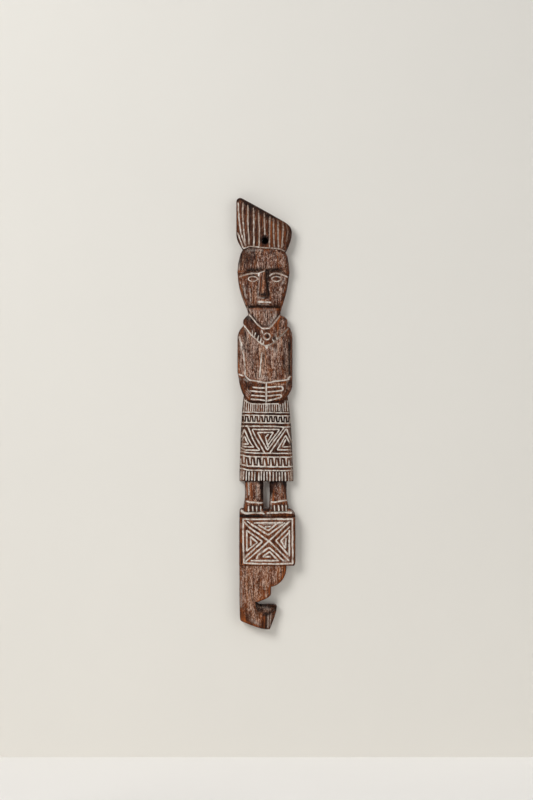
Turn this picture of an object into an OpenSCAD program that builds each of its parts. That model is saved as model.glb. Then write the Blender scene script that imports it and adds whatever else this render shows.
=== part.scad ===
// Carved wooden wall figure. One plank is cut to a standing figure on a block with a hooked tail,
// and pale lime is rubbed into its cut lines. Sizes are in millimetres.
// x runs to the right as seen from the front, y runs back to the wall, and z is up.
// The origin is the middle of the hanging hole, in the flat back of the plank.

/* [Hanging hole] */
// Diameter of the hole that takes the nail
hole_d = 10; // [6:0.2:13]
// From the middle of the hole down to the line under the headdress
hole_rise = 12; // [10:0.5:18]

/* [Headdress] */
// Reach of the headdress to the left of the hole
headdress_left = 46; // [42:0.5:52]
// Reach of the headdress to the right of the hole
headdress_right = 43; // [40:0.5:50]
// Height of the tall corner above the hole
headdress_high = 69.5; // [60:0.5:80]
// Height of the low shoulder above the hole
headdress_low = 33; // [28:0.5:40]
// Width of the headdress where it meets the head
headdress_foot = 69; // [64:0.5:74]
// Thickness of the headdress at its middle
headdress_t = 24; // [20:0.5:28]
// Flutes on each side of the hole
flutes_each_side = 5; // [3:1:6]
// From the middle of the hole to the nearest flute on each side
flute_gap = 8.5; // [8:0.25:11]
// Plain rim above the flutes
flute_rim = 5; // [3:0.5:8]

/* [Head] */
// Width of the head at the temples
head_w = 83.5; // [78:0.5:90]
// Width of the head at its top
head_top_w = 63; // [56:0.5:68]
// Width of the jaw at the chin line
jaw_w = 56; // [52:0.5:62]
// Height from the headdress line to the chin line
head_h = 95; // [88:0.5:104]
// Thickness of the head at the brow
head_t = 27; // [25:0.5:31]
// Height of the forehead
forehead_h = 36.5; // [32:0.5:42]
// Thickness of the face below the brow
face_t = 22.5; // [21:0.5:24]
// Width of an eye
eye_w = 16.5; // [13:0.5:19]
// Height of an eye
eye_h = 9; // [7:0.5:11]
// From the middle of one eye to the middle of the other
eye_spacing = 37.5; // [34:0.5:42]
// From the brow edge down to the middle of the eyes
eye_drop = 12.5; // [10.5:0.5:16]
// Length of the nose
nose_l = 40; // [34:0.5:44]
// Width of the nose at its tip
nose_w = 16.5; // [12:0.5:19]
// Thickness of the plank at the tip of the nose
nose_t = 31; // [28:0.5:35]
// Length of the mouth
mouth_w = 21.5; // [16:0.5:26]
// Height of the mouth above the chin line
mouth_rise = 9.5; // [8.5:0.5:12]

/* [Neck and collar] */
// Depth of the neck below the chin line
neck_h = 33.5; // [30:0.5:38]
// From the chin line down to where the collar begins
neck_drop = 11; // [9:0.5:12]
// Width of the neck at its lower end
neck_end_w = 11; // [8:0.5:15]
// Thickness of the neck
neck_t = 19; // [17:0.5:21]
// Width of the collar at the shoulders
collar_w = 72; // [68:0.5:78]
// From the chin line down to where the collar's lower edge leaves the shoulder
collar_drop = 28; // [26:0.5:30]
// Depth of the collar's point below the chin line
collar_h = 62; // [58:0.5:66]
// Thickness of the collar
collar_t = 26.5; // [25:0.5:29]
// Diameter of the pendant ring
pendant_d = 12.5; // [10:0.5:15]
// Height of the middle of the pendant ring above the collar's point
pendant_rise = 17; // [14:0.5:19]

/* [Body and arms] */
// Width of the body over the arms
body_w = 88.5; // [84:0.5:96]
// From the chin line down to the middle of the line above the hands
body_h = 120; // [114:0.5:128]
// Thickness of the body
body_t = 25; // [23:0.5:28]
// From the chin line down to where the round of a shoulder ends
shoulder_drop = 49; // [46:0.5:53]
// Width of a sleeve
sleeve_w = 11; // [9:0.5:15]

/* [Hands] */
// Height of the folded hands
hand_h = 31; // [28:0.5:36]
// Thickness of the plank at the hands
hand_t = 28; // [26.5:0.5:31]
// Finger lines on each hand
finger_n = 4; // [3:1:5]
// Length of a finger line
finger_l = 23; // [18:0.5:27]

/* [Skirt] */
// Width of the skirt at the waist
waist_w = 75; // [70:0.5:80]
// Width of the skirt at the hem
hem_w = 86.5; // [82:0.5:94]
// Thickness of the skirt
skirt_t = 25.5; // [23:0.5:28]
// Height of the waist fringe
waist_fringe_h = 15; // [12:0.5:20]
// Height of the upper band
upper_band_h = 18.5; // [17:0.5:24]
// Height of the field of triangles
triangle_h = 46.5; // [42:0.5:52]
// Height of the lower band
lower_band_h = 29.5; // [26:0.5:34]
// Height of the hem fringe
hem_fringe_h = 17; // [12:0.5:21]
// Step between the lines of the waist fringe
waist_fringe_step = 3.6; // [3.2:0.1:5]
// Step between the lines of the hem fringe
hem_fringe_step = 4.8; // [4:0.1:7]
// Teeth of the upper band on each side
upper_teeth = 9; // [6:1:9]
// Teeth of the lower band on each side
lower_teeth = 8; // [5:1:9]
// Plain wood between the lines of a pair, and beside the field of triangles
band_land = 3; // [1.5:0.1:3.5]

/* [Legs] */
// Height of the open gap between the legs
leg_h = 44.5; // [40:0.5:54]
// Width of a leg
leg_w = 28; // [25:0.5:31]
// Gap between the legs
leg_gap = 9.5; // [7:0.5:12]
// Thickness of the legs
leg_t = 20; // [18:0.5:22]
// Height of a foot up to the anklet
foot_h = 15; // [13:0.5:19]
// Spread of a foot past the outer side of its leg
foot_spread_w = 2.6; // [1.5:0.1:4]
// Thickness of the feet
foot_t = 23.5; // [22:0.5:25.5]

/* [Block] */
// Width of the block
block_w = 90; // [86:0.5:98]
// Height of the block
block_h = 90.5; // [86:0.5:98]
// Thickness of the block
block_t = 27; // [26:0.5:30]
// Set-back edge of the block above its front face
block_ledge = 5; // [4:0.5:7]
// Width of the carved panel
panel_w = 78; // [72:0.5:82]
// Height of the carved panel
panel_h = 71; // [66:0.5:74]
// From the lower edge of the block up to the panel
panel_rise = 4; // [3:0.25:6]

/* [Tail] */
// Width of the tail under the block
tail_w = 75; // [70:0.5:80]
// Height of the tail
tail_h = 102; // [96:0.5:112]
// Thickness of the tail
tail_t = 23; // [21:0.5:25.5]
// Height of the round shoulder under the block
tail_round_h = 34; // [30:0.5:36]
// Width of the tail below its round shoulder
tail_step_w = 50; // [46:0.5:54]
// Width of the tail left behind the notch
tail_neck_w = 27; // [24:0.5:31]
// From the block down to the notch
notch_drop = 60; // [57:0.5:63]
// Reach of the hook from the left edge of the tail
hook_w = 59; // [55:0.5:63]
// Thickness left at the outer edge of the hook
hook_edge_t = 10; // [8:0.5:13]

/* [Cut lines] */
// Width of a cut line
groove_w = 2.4; // [1.8:0.1:2.8]
// Depth of a cut line
groove_depth = 2; // [1.6:0.1:2.6]
// Thickness of the lime in a cut line
lime_t = 1.2; // [0.6:0.1:1.5]

/* [Hidden] */
$fn = 144;
wood = [0.33, 0.2, 0.13];
lime = [0.8, 0.76, 0.7];

// Middle lines of the parts, which lean a little as the plank does
head_x = -2.4;
chest_x = 1.8;
skirt_x = 1.6;
block_x = 3.7;
leg_x = 2.2;

// Levels from the top down
head_top = -hole_rise;
brow_z = head_top - forehead_h;
chin_z = head_top - head_h;
arm_z = chin_z - body_h;
waist_z = arm_z - hand_h;
upper_band_z = waist_z - waist_fringe_h;
triangle_z = upper_band_z - upper_band_h;
lower_band_z = triangle_z - triangle_h;
hem_fringe_z = lower_band_z - lower_band_h;
hem_z = hem_fringe_z - hem_fringe_h;
block_top = hem_z - leg_h;
block_front = block_top - block_ledge;
block_foot = block_top - block_h;
tail_z = block_foot - tail_h;
skirt_h = waist_z - hem_z;
tail_left = block_x - block_w / 2 + 0.8;

// Radius across each rounded front
headdress_r = 150;
brow_r = 125;
face_r = 110;
neck_r = 90;
collar_r = 80;
body_r = 88;
skirt_r = 90;
ledge_r = 170;
block_r = 260;
tail_r = 210;

// Rounded fronts: thickness at the middle, radius across, and middle line
headdress_front = [headdress_t, headdress_r, 0];
face_front = [face_t, face_r, head_x];
neck_front = [neck_t, neck_r, head_x];
collar_front = [collar_t, collar_r, chest_x];
body_front = [body_t, body_r, 0];
hand_front = [hand_t, body_r, 0];
skirt_front = [skirt_t, skirt_r, skirt_x];
ledge_front = [foot_t - 3, ledge_r, block_x];
block_front_face = [block_t, block_r, block_x];
tail_front = [tail_t, tail_r, block_x];

// A drawing is pushed forward from the wall by this much, and fronts run past the plank's ends
reach = 60;
past_end = 20;
low = tail_z - past_end;
high = headdress_high + past_end;

function mix(a, b, t) = a + (b - a) * t;
function reversed(p) = [for (i = [len(p) - 1 : -1 : 0]) p[i]];

// Points along a curve from a to d, pulled towards b and c, without the last point
function curve(a, b, c, d, n = 7) =
  [for (i = [0 : n - 1]) let (t = i / n, s = 1 - t)
    s * s * s * a + 3 * s * s * t * b + 3 * s * t * t * c + t * t * t * d];

// Outline of a line of even width along the points p, mitred at its bends
function normal(p, i) = let (v = p[i + 1] - p[i]) [-v[1], v[0]] / norm(v);
function bend(p, i) =
  i == 0 ? normal(p, 0) :
  i == len(p) - 1 ? normal(p, i - 1) :
  let (a = normal(p, i - 1), b = normal(p, i)) (a + b) / (1 + a * b);
function stroke(p, w) = concat(
  [for (i = [0 : len(p) - 1]) p[i] + bend(p, i) * w / 2],
  [for (i = [len(p) - 1 : -1 : 0]) p[i] - bend(p, i) * w / 2]
);
module line(p, w = groove_w) polygon(stroke(p, w));

// A drawing of the front, pushed forward from the wall
module slab() rotate([90, 0, 0]) linear_extrude(reach) children();

// A side drawing of y and z, carried across from x0 to x1
module profile(x0, x1) translate([x0, 0, 0]) rotate([90, 0, 90]) linear_extrude(x1 - x0) children();

// Everything behind a rounded front, set in by some depth
module behind(front, depth = 0)
  translate([front[2], front[1] - front[0], low]) cylinder(h = high - low, r = front[1] - depth);

module region(front) intersection() {
  slab() children();
  behind(front);
}

module cut(front) difference() {
  slab() children();
  behind(front, groove_depth);
}

module fill(front) color(lime) intersection() {
  slab() children();
  difference() {
    behind(front, groove_depth - lime_t);
    behind(front, groove_depth);
  }
}

// Headdress: tall on the left, sloping to a round shoulder on the right
headdress_slope_x = [9.5 - headdress_left, headdress_right - 15.5];
function headdress_edge(x) = mix(
  headdress_high - 0.8, headdress_low,
  (x - headdress_slope_x[0]) / (headdress_slope_x[1] - headdress_slope_x[0])
);

module headdress_outline() {
  l = -headdress_left;
  r = headdress_right;
  foot = headdress_foot / 2;
  side_z = headdress_low - 19;
  polygon(concat(
    curve([foot - 1, head_top - 4], [r - 5, head_top + 4], [r, head_top + 14], [r, side_z]),
    curve([r, side_z], [r, side_z + 9.5], [r - 6.5, headdress_low - 4.7],
      [headdress_slope_x[1], headdress_low]),
    curve([headdress_slope_x[0], headdress_high - 0.8], [l + 3.5, headdress_high + 2.2],
      [l, headdress_high - 2.2], [l, headdress_high - 7.5]),
    curve([l, head_top + 25], [l, head_top + 14], [l + 5.2, head_top + 7], [-foot - 0.8, head_top - 2]),
    [[-foot - 0.8, head_top - 2], [0, head_top - 4.5]]
  ));
}

// Flutes fan out from the hole, and the middle one stops above it
module headdress_lines() {
  foot = headdress_foot / 2;
  first = head_top + 5.2;
  for (s = [-1, 1], i = [0 : flutes_each_side - 1]) {
    u = i / (flutes_each_side - 1);
    side = s < 0 ? headdress_left - 3.6 : headdress_right - 8;
    x = s * mix(flute_gap, side, u);
    top_z = min(headdress_edge(x), headdress_high) - flute_rim;
    bottom = s * mix(flute_gap, foot - 4.4, u);
    line([[x, top_z], [x, mix(first, top_z, 0.45)], [bottom, first]]);
  }
  line([[-0.6, headdress_edge(0) - flute_rim], [0, hole_d / 2 + 2.5]]);
  line([[-foot + 2, head_top + 0.6], [-foot * 0.7, head_top + 2.6], [0, head_top + 2],
    [foot * 0.7, head_top + 1.2], [foot - 3, head_top - 0.6]]);
}

// Head: broad temples, narrowing to the jaw, with the face cut back below the brow
function head_side(s) = let (h = head_h, top = head_top_w / 2, wide = head_w / 2, jaw = jaw_w / 2)
  [for (p = concat(
    curve([top, 2], [top + 6, -0.08 * h], [wide, -0.23 * h], [wide, -0.42 * h]),
    curve([wide, -0.42 * h], [wide, -0.63 * h], [jaw + 8, -0.83 * h], [jaw, -h]),
    [[jaw, -h]]
  )) [head_x + s * p[0], head_top + p[1]]];

module head_outline() polygon(concat(head_side(1), reversed(head_side(-1))));

module forehead() {
  intersection() {
    slab() head_outline();
    translate([head_x, brow_r - head_t, brow_z]) sphere(r = brow_r);
    translate([head_x - head_w, -reach, brow_z]) cube([head_w * 2, reach, forehead_h + 10]);
  }
}

module nose() {
  tip = brow_z - nose_l;
  x = head_x + 1.4;
  intersection() {
    slab() polygon([
      [x - nose_w / 2, tip], [x + nose_w / 2, tip],
      [x + nose_w * 0.28, brow_z + 1], [x - nose_w * 0.28, brow_z + 1]
    ]);
    profile(x - nose_w, x + nose_w)
      polygon([[0, tip - 1], [-nose_t + 1.2, tip - 1], [-nose_t, tip + 3], [-face_t - 2.4, brow_z + 1.5],
        [0, brow_z + 1.5]]);
  }
}

function eye_points(x, w, h) = let (z = brow_z - eye_drop) concat(
  curve([x - w, z], [x - w * 0.5, z + h], [x + w * 0.5, z + h], [x + w, z]),
  curve([x + w, z], [x + w * 0.5, z - h], [x - w * 0.5, z - h], [x - w, z])
);
module eye_line(x) difference() {
  polygon(eye_points(x, eye_w / 2, eye_h * 0.66));
  polygon(eye_points(x, eye_w / 2 - groove_w * 1.3, eye_h * 0.66 - groove_w));
}

module face_lines() {
  out = head_w / 2 - 4;
  in = nose_w / 2 + 2.2;
  for (s = [-1, 1]) {
    eye_line(head_x + s * eye_spacing / 2);
    line([for (p = [[in, -4.2], [eye_spacing / 2, -3.2], [out - 8, -4.6], [out, -8.6]])
      [head_x + s * p[0], brow_z + p[1]]], groove_w * 0.8);
  }
  mouth = [head_x + 1.4, chin_z + mouth_rise];
  line([mouth - [mouth_w / 2, 0], mouth + [mouth_w / 2, 0]]);
  line([mouth - [mouth_w / 2 - 2, 4.2], mouth + [mouth_w / 2 - 2, -4.2]], groove_w * 0.6);
}

// Neck: a flat wedge that runs down inside the collar
neck_top_w = jaw_w - 6.5;
neck_x = [head_x + 1, chest_x - 0.3];
neck_points = [
  [neck_x[0] - neck_top_w / 2, chin_z - neck_drop], [neck_x[1] - neck_end_w / 2, chin_z - neck_h],
  [neck_x[1] + neck_end_w / 2, chin_z - neck_h], [neck_x[0] + neck_top_w / 2, chin_z - neck_drop]
];

module neck_outline() polygon(concat(
  [[head_x - jaw_w / 2 + 0.6, chin_z + 4]], neck_points, [[head_x + jaw_w / 2 - 0.6, chin_z + 4]]
));

// The room that the collar and the body leave for the neck
module neck_room() polygon(concat([neck_points[0] + [0, 14]], neck_points, [neck_points[3] + [0, 14]]));

module neck_lines() {
  inset = groove_w / 2 + 0.3;
  lift = inset * 1.25;
  line([
    neck_points[0] + [lift * 1.2, lift * 0.6], neck_points[1] + [inset * 0.5, inset],
    neck_points[2] + [-inset * 0.5, inset], neck_points[3] + [-lift * 1.2, lift * 0.6]
  ]);
}

// Collar: a thick shawl that rounds over the shoulders and comes to a point on the chest
module collar_outline() {
  w = collar_w / 2;
  difference() {
    polygon(concat(
      [[neck_x[0] + neck_top_w / 2 - 4, chin_z - 8], [neck_x[0] + neck_top_w / 2, chin_z - neck_drop]],
      curve([neck_x[0] + neck_top_w / 2, chin_z - neck_drop], [w - 3, chin_z - 13.5], [w + 2, chin_z - 20],
        [w - 1, chin_z - collar_drop]),
      [[w - 1, chin_z - collar_drop], [chest_x + 2.4, chin_z - collar_h], [chest_x - 2.4, chin_z - collar_h]],
      curve([1 - w, chin_z - collar_drop], [-w - 1, chin_z - 21], [3 - w, chin_z - 14],
        [neck_x[0] - neck_top_w / 2, chin_z - neck_drop]),
      [[neck_x[0] - neck_top_w / 2, chin_z - neck_drop], [neck_x[0] - neck_top_w / 2 + 4, chin_z - 8]]
    ));
    neck_room();
  }
}

// The lower edge of the collar, seen as a line of points on side s, from the shoulder to the point
function collar_edge(s, t) = mix(
  [s * (collar_w / 2 - 1), chin_z - collar_drop], [chest_x + s * 2.4, chin_z - collar_h], t
);

module collar_edge_lines() {
  down = [0, -groove_w * 0.95];
  line([collar_edge(-1, 0.06) + down, collar_edge(-1, 1) + down * 1.1,
    collar_edge(1, 1) + down * 1.1, collar_edge(1, 0.06) + down]);
}

module collar_fringe_lines() {
  tick_h = collar_h * 0.11;
  for (t = [0.36, 0.48, 0.6, 0.72])
    line([collar_edge(-1, t) + [1, 1.4], collar_edge(-1, t) + [1, 1.4 + tick_h]], groove_w * 0.7);
  for (t = [0.42, 0.62])
    line([collar_edge(1, t) + [-1, 1.4], collar_edge(1, t) + [-1, 1.4 + tick_h]], groove_w * 0.7);
}

module pendant_lines() translate([chest_x + 0.6, chin_z - collar_h + pendant_rise]) difference() {
  circle(d = pendant_d);
  circle(d = pendant_d - 2 * groove_w);
}

// Body: rounded shoulders, straight sleeves, and elbows that round in to the folded hands
function shoulder(t) = chin_z - shoulder_drop * t;
module body_outline() {
  w = body_w / 2;
  neck_side = collar_w / 2 - 3;
  difference() {
    polygon(concat(
      curve([neck_side, shoulder(0.53)], [w - 6, shoulder(0.61)], [w, shoulder(0.775)], [w, shoulder(1)]),
      curve([w, arm_z + 6], [w, arm_z - 15], [w - 10, waist_z + 4], [w - 23, waist_z]),
      curve([23 - w, waist_z], [10 - w, waist_z + 5], [2 - w, arm_z - 12], [1 - w, arm_z + 11]),
      curve([-w, shoulder(1)], [-w, shoulder(0.775)], [6 - w, shoulder(0.61)], [-neck_side, shoulder(0.53)]),
      [[-neck_side, shoulder(0.53)]]
    ));
    neck_room();
  }
}

// The edge where the forearms stand out from the body, from the left elbow to the right one
function forearm_edge() = let (w = body_w / 2) [
  [-w - 1, arm_z + 11.5], [sleeve_w - w + 2, arm_z + 9.5], [sleeve_w - w + 8, arm_z + 4],
  [1.6, arm_z], [w - 9, arm_z + 5], [w - 4, arm_z + 10.5], [w + 1, arm_z + 11.5]
];

module hand_field() {
  w = body_w / 2;
  polygon(concat(forearm_edge(), [[w + 1, waist_z - 5], [-w - 1, waist_z - 5]]));
}

// The hands stand out from the body below that edge, inside the same outline
module body() intersection() {
  slab() body_outline();
  union() {
    behind(body_front);
    intersection() {
      behind(hand_front);
      slab() hand_field();
    }
  }
}

module sleeve_lines() {
  w = body_w / 2;
  e = forearm_edge();
  up = [0, groove_w * 0.9];
  line([[2.4 - w, shoulder(1.06)], [5.6 - w, shoulder(1.265)], [sleeve_w - w, shoulder(1.633)],
    [sleeve_w - w + 1.2, arm_z + 15], e[2] + up, e[3] + up, e[4] + up, e[5] + up * 1.2]);
  line([[chest_x - 7, chin_z - collar_h - 9], [chest_x - 10.6, arm_z + 8]], groove_w * 0.7);
  line([[1.4 - w, arm_z + 14.2], [sleeve_w - w - 2.2, arm_z + 13.2]], groove_w * 0.8);
}

// Folded hands: a line where the finger tips meet, and rows of fingers on each side
module finger_lines() {
  top = arm_z - 3.4;
  bottom = waist_z + 1.6;
  line([[chest_x, top], [chest_x, bottom]]);
  for (s = [-1, 1], i = [0 : finger_n - 1]) {
    z = mix(top - 3.6, bottom + 2, i / (finger_n - 1));
    from = chest_x + s * (groove_w / 2 + 0.5);
    line([[from, z - 0.4], [from + s * finger_l, z + 0.8]], groove_w * 0.8);
  }
}

// Skirt: flares from the waist, mostly near the top
function skirt_half(z) = let (t = min(1, max(0, (waist_z - z) / skirt_h)))
  mix(waist_w, hem_w, 1 - pow(1 - t, 2.5)) / 2;
function skirt_side(s) = [for (i = [0 : 10]) let (z = waist_z - skirt_h * i / 10)
  [skirt_x + s * skirt_half(z), z]];

module skirt_outline() polygon(concat(
  [[skirt_x + waist_w / 2 - 1, waist_z + 6]], skirt_side(1), reversed(skirt_side(-1)),
  [[skirt_x - waist_w / 2 + 1, waist_z + 6]]
));

// Lines that hang side by side between two levels, as many as fit the skirt
module fringe(top, bottom, step, w) {
  n = floor((skirt_half(top) - w) / step - 0.5);
  for (i = [-n - 1 : n]) {
    x = skirt_x + (i + 0.5) * step;
    line([[x, top], [x, bottom]], w);
  }
}

module waist_fringe_lines() fringe(waist_z - 2, upper_band_z + 0.7, waist_fringe_step, groove_w * 0.65);
module hem_fringe_lines() fringe(hem_fringe_z - 0.7, hem_z + 1, hem_fringe_step, groove_w * 0.85);

// A line across the skirt
module skirt_line(z) {
  half = skirt_half(z) - 1.2;
  line([[skirt_x - half, z], [skirt_x + half, z]]);
}

// A band: a pair of lines above, one or two below, and teeth that reach in from both sides
module band(top, h, teeth, below) {
  edge = groove_w / 2;
  pair = groove_w + band_land;
  upper = top - edge - pair;
  lower = top - h + edge + (below - 1) * pair;
  skirt_line(upper + pair);
  skirt_line(upper);
  skirt_line(lower);
  if (below == 2) skirt_line(lower - pair);
  depth = (upper - lower) * 0.78;
  step = 2 * (skirt_half(top) - 3) / (2 * teeth + 1);
  for (i = [0 : 2 * teeth]) {
    x = skirt_x + (i - teeth) * step;
    hangs = i % 2 == 0;
    z = hangs ? upper : lower;
    tip = hangs ? upper - depth : lower + depth;
    wide = hangs ? edge : -edge;
    polygon([[x - wide, z], [x + wide, z], [x + wide * 0.55, tip], [x - wide * 0.55, tip]]);
  }
}

module upper_band_lines() band(upper_band_z, upper_band_h, upper_teeth, 1);
module lower_band_lines() band(lower_band_z, lower_band_h, lower_teeth, 2);

// Triangles wound into one another: a point is its share of the half width and of the height
module triangle_lines() {
  top = triangle_z - band_land - groove_w / 2;
  bottom = lower_band_z + band_land + groove_w / 2;
  function at(u, v) = let (z = mix(top, bottom, v)) [skirt_x + u * (skirt_half(z) - 2.6), z];
  thin = groove_w * 0.8;
  line([at(0.62, 0), at(-0.74, 0), at(-0.27, 1), at(-1, 1)]);
  line([at(0.09, 0.79), at(0.54, 0.135), at(-0.55, 0.135), at(-0.13, 1)]);
  line([at(0.08, 0.62), at(0.29, 0.27), at(-0.35, 0.27), at(0.06, 1), at(0.74, 0.03), at(1, 0.03)]);
  line([at(0.1, 0.4), at(-0.03, 0.45), at(0.02, 0.62)], thin);
  line([at(0.215, 1), at(0.8, 0.14), at(0.985, 0.6)]);
  line([at(1, 1), at(0.46, 1), at(0.8, 0.4), at(0.96, 0.7)]);
  line([at(1, 0.87), at(0.66, 0.87), at(0.8, 0.6)], thin);
  line([at(-1, 0.46), at(-0.86, 0.12), at(-0.51, 0.87), at(-1, 0.87)]);
  line([at(-1, 0.64), at(-0.88, 0.4), at(-0.72, 0.74), at(-1, 0.74)], thin);
}

// Legs: two round posts with spreading feet, and the wall seen between them
function leg_mid(s) = leg_x + s * (leg_gap + leg_w) / 2;
function leg_front(s) = [leg_t, 24, leg_mid(s)];
function foot_front(s) = [foot_t, 32, leg_mid(s)];

module leg(s) {
  x = leg_mid(s);
  region(leg_front(s)) polygon([
    [x - leg_w / 2, block_top - 2], [x + leg_w / 2, block_top - 2],
    [x + leg_w / 2, hem_z + 4], [x - leg_w / 2, hem_z + 4]
  ]);
  inner = x - s * leg_w / 2;
  outer = x + s * leg_w / 2;
  toe_z = block_front + 1.2;
  region(foot_front(s)) polygon(concat(
    [[inner, toe_z], [inner, block_top + foot_h + 1]],
    curve([outer, block_top + foot_h + 1], [outer, block_top + foot_h - 5],
      [outer + s * foot_spread_w, block_top + foot_h * 0.5], [outer + s * foot_spread_w, block_top + 2]),
    [[outer + s * foot_spread_w, block_top + 2], [outer + s * (foot_spread_w - 1), toe_z]]
  ));
}

module foot_lines(s) {
  x = leg_mid(s);
  half = leg_w / 2 - 1.6;
  line([[x - half, block_top + foot_h - 2.4], [x + half, block_top + foot_h - 2.4]]);
  for (i = [0 : 3]) {
    u = x + s * 0.8 + (i - 1.5) * leg_w * 0.22;
    line([[u, block_top + foot_h - 7.5], [u, block_front + 2.4]], groove_w * 0.7);
  }
}

// Block: a set-back upper edge, and a flat front with a framed panel of nested triangles
module block_shape(top, round_left, round_right) {
  l = block_x - block_w / 2;
  r = block_x + block_w / 2;
  polygon(concat(
    curve([l, top - round_left], [l, top - round_left * 0.4], [l + round_left * 0.4, top],
      [l + round_left, top], 4),
    curve([r - round_right, top], [r - round_right * 0.4, top], [r, top - round_right * 0.4],
      [r, top - round_right]),
    curve([r, block_foot + 4], [r, block_foot + 1.6], [r - 1.6, block_foot], [r - 4, block_foot], 4),
    [[r - 4, block_foot], [l, block_foot]]
  ));
}

module panel_lines() {
  z = block_foot + panel_rise + panel_h / 2;
  w = panel_w / 2;
  h = panel_h / 2;
  inset = groove_w * 1.25;
  pitch = groove_w * 2.05;
  line([[block_x - w, block_front - groove_w * 0.8], [block_x + w, block_front - groove_w * 0.8]]);
  difference() {
    translate([block_x - w, z - h]) square([panel_w, panel_h]);
    translate([block_x - w + groove_w, z - h + groove_w])
      square([panel_w - 2 * groove_w, panel_h - 2 * groove_w]);
  }
  // corner to corner
  for (s = [-1, 1])
    line([[block_x - w + inset, z + s * (h - inset)], [block_x + w - inset, z - s * (h - inset)]]);
  // in each quarter, triangles nested towards the frame
  for (k = [0 : 3], i = [0, 1]) {
    upright = k % 2 == 0;
    far = (upright ? h : w) - pitch * 1.05;
    slope = upright ? w / h : h / w;
    near = pitch * (upright ? 1.35 : 1.5) * (i + 1);
    base = far - i * pitch * (upright ? 0.95 : 1.1);
    reach_side = (base - near) * slope;
    turn = k < 2 ? 1 : -1;
    ring = [[near, 0], [base, reach_side], [base, -reach_side]];
    inner = [[near + pitch, 0], [base - groove_w, reach_side - pitch * slope - groove_w * slope * 0.1],
      [base - groove_w, -reach_side + pitch * slope + groove_w * slope * 0.1]];
    translate([block_x, z]) difference() {
      polygon([for (p = ring) upright ? [p[1], turn * p[0]] : [turn * p[0], p[1]]]);
      polygon([for (p = inner) upright ? [p[1], turn * p[0]] : [turn * p[0], p[1]]]);
    }
  }
}

// Tail: a round shoulder on the right, a step, a notch, and a hook that turns up below it
module tail_outline() {
  l = tail_left;
  top = block_foot;
  step_x = l + tail_step_w;
  step_z = top - tail_round_h;
  neck = [l + tail_neck_w, top - notch_drop];
  hook = [l + hook_w, top - notch_drop - 6.5];
  polygon(concat(
    [[l, tail_z + 15], [l - 0.6, top + 6], [l + tail_w, top + 6]],
    curve([l + tail_w, top - 3], [l + tail_w - 0.6, step_z + 15], [step_x + 15, step_z + 2.5],
      [step_x, step_z]),
    [[step_x, step_z]],
    curve([step_x, neck[1] + 14.5], [step_x - 2, neck[1] + 7], [neck[0] + 5, neck[1] + 4], neck),
    curve(neck, neck + [5, -4.5], hook + [-14, 3.5], hook),
    curve(hook, hook + [-1, -14], [step_x + 1.6, tail_z + 9], [step_x - 1.6, tail_z]),
    curve([step_x - 1.6, tail_z], [step_x - 12, tail_z + 0.4], [l + 21, tail_z + 7.5], [l + 3.4, tail_z + 15])
  ));
}

module tail() difference() {
  region(tail_front) tail_outline();
  // the outer side of the hook falls away to its edge
  hook_x = tail_left + hook_w;
  hook_z = block_foot - notch_drop - 2;
  translate([0, 0, low]) linear_extrude(hook_z - low) polygon([
    [hook_x - 18, -tail_t - 0.5], [hook_x, -hook_edge_t], [hook_x + 10, -hook_edge_t], [hook_x + 10, -reach],
    [hook_x - 18, -reach]
  ]);
  // the top of the hook is hollowed with a gouge
  gouge = tail_t - hook_edge_t + 3;
  gouge_x = tail_left + tail_neck_w - 2;
  intersection() {
    translate([gouge_x, -tail_t - 3, hook_z - 2]) rotate([0, 97, 0]) cylinder(h = hook_w, r = gouge);
    translate([gouge_x - 20, -reach, low]) cube([hook_w + 20, reach, hook_z + 1.4 - low]);
  }
}

module carved_plank() color(wood) difference() {
  union() {
    region(headdress_front) headdress_outline();
    forehead();
    region(face_front) head_outline();
    nose();
    region(neck_front) neck_outline();
    region(collar_front) collar_outline();
    body();
    region(skirt_front) skirt_outline();
    leg(-1);
    leg(1);
    region(ledge_front) block_shape(block_top, 4, 12);
    region(block_front_face) block_shape(block_front, 2, 6);
    tail();
  }
  rotate([90, 0, 0]) translate([0, 0, -1]) cylinder(h = reach, d = hole_d);
  cut(headdress_front) headdress_lines();
  cut(face_front) face_lines();
  cut(neck_front) neck_lines();
  cut(body_front) { collar_edge_lines(); sleeve_lines(); }
  cut(collar_front) { collar_fringe_lines(); pendant_lines(); }
  cut(hand_front) finger_lines();
  cut(skirt_front) {
    waist_fringe_lines();
    upper_band_lines();
    triangle_lines();
    lower_band_lines();
    hem_fringe_lines();
  }
  cut(foot_front(-1)) foot_lines(-1);
  cut(foot_front(1)) foot_lines(1);
  cut(block_front_face) panel_lines();
}

module headdress_lime() fill(headdress_front) headdress_lines();
module face_lime() fill(face_front) face_lines();
module neck_lime() fill(neck_front) neck_lines();
module collar_edge_lime() fill(body_front) collar_edge_lines();
module collar_fringe_lime() fill(collar_front) collar_fringe_lines();
module pendant_lime() fill(collar_front) pendant_lines();
module sleeve_lime() fill(body_front) sleeve_lines();
module finger_lime() fill(hand_front) finger_lines();
module waist_fringe_lime() fill(skirt_front) waist_fringe_lines();
module upper_band_lime() fill(skirt_front) upper_band_lines();
module triangle_lime() fill(skirt_front) triangle_lines();
module lower_band_lime() fill(skirt_front) lower_band_lines();
module hem_fringe_lime() fill(skirt_front) hem_fringe_lines();
module left_foot_lime() fill(foot_front(-1)) foot_lines(-1);
module right_foot_lime() fill(foot_front(1)) foot_lines(1);
module panel_lime() fill(block_front_face) panel_lines();

carved_plank();
headdress_lime();
face_lime();
neck_lime();
collar_edge_lime();
collar_fringe_lime();
pendant_lime();
sleeve_lime();
finger_lime();
waist_fringe_lime();
upper_band_lime();
triangle_lime();
lower_band_lime();
hem_fringe_lime();
left_foot_lime();
right_foot_lime();
panel_lime();
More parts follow.
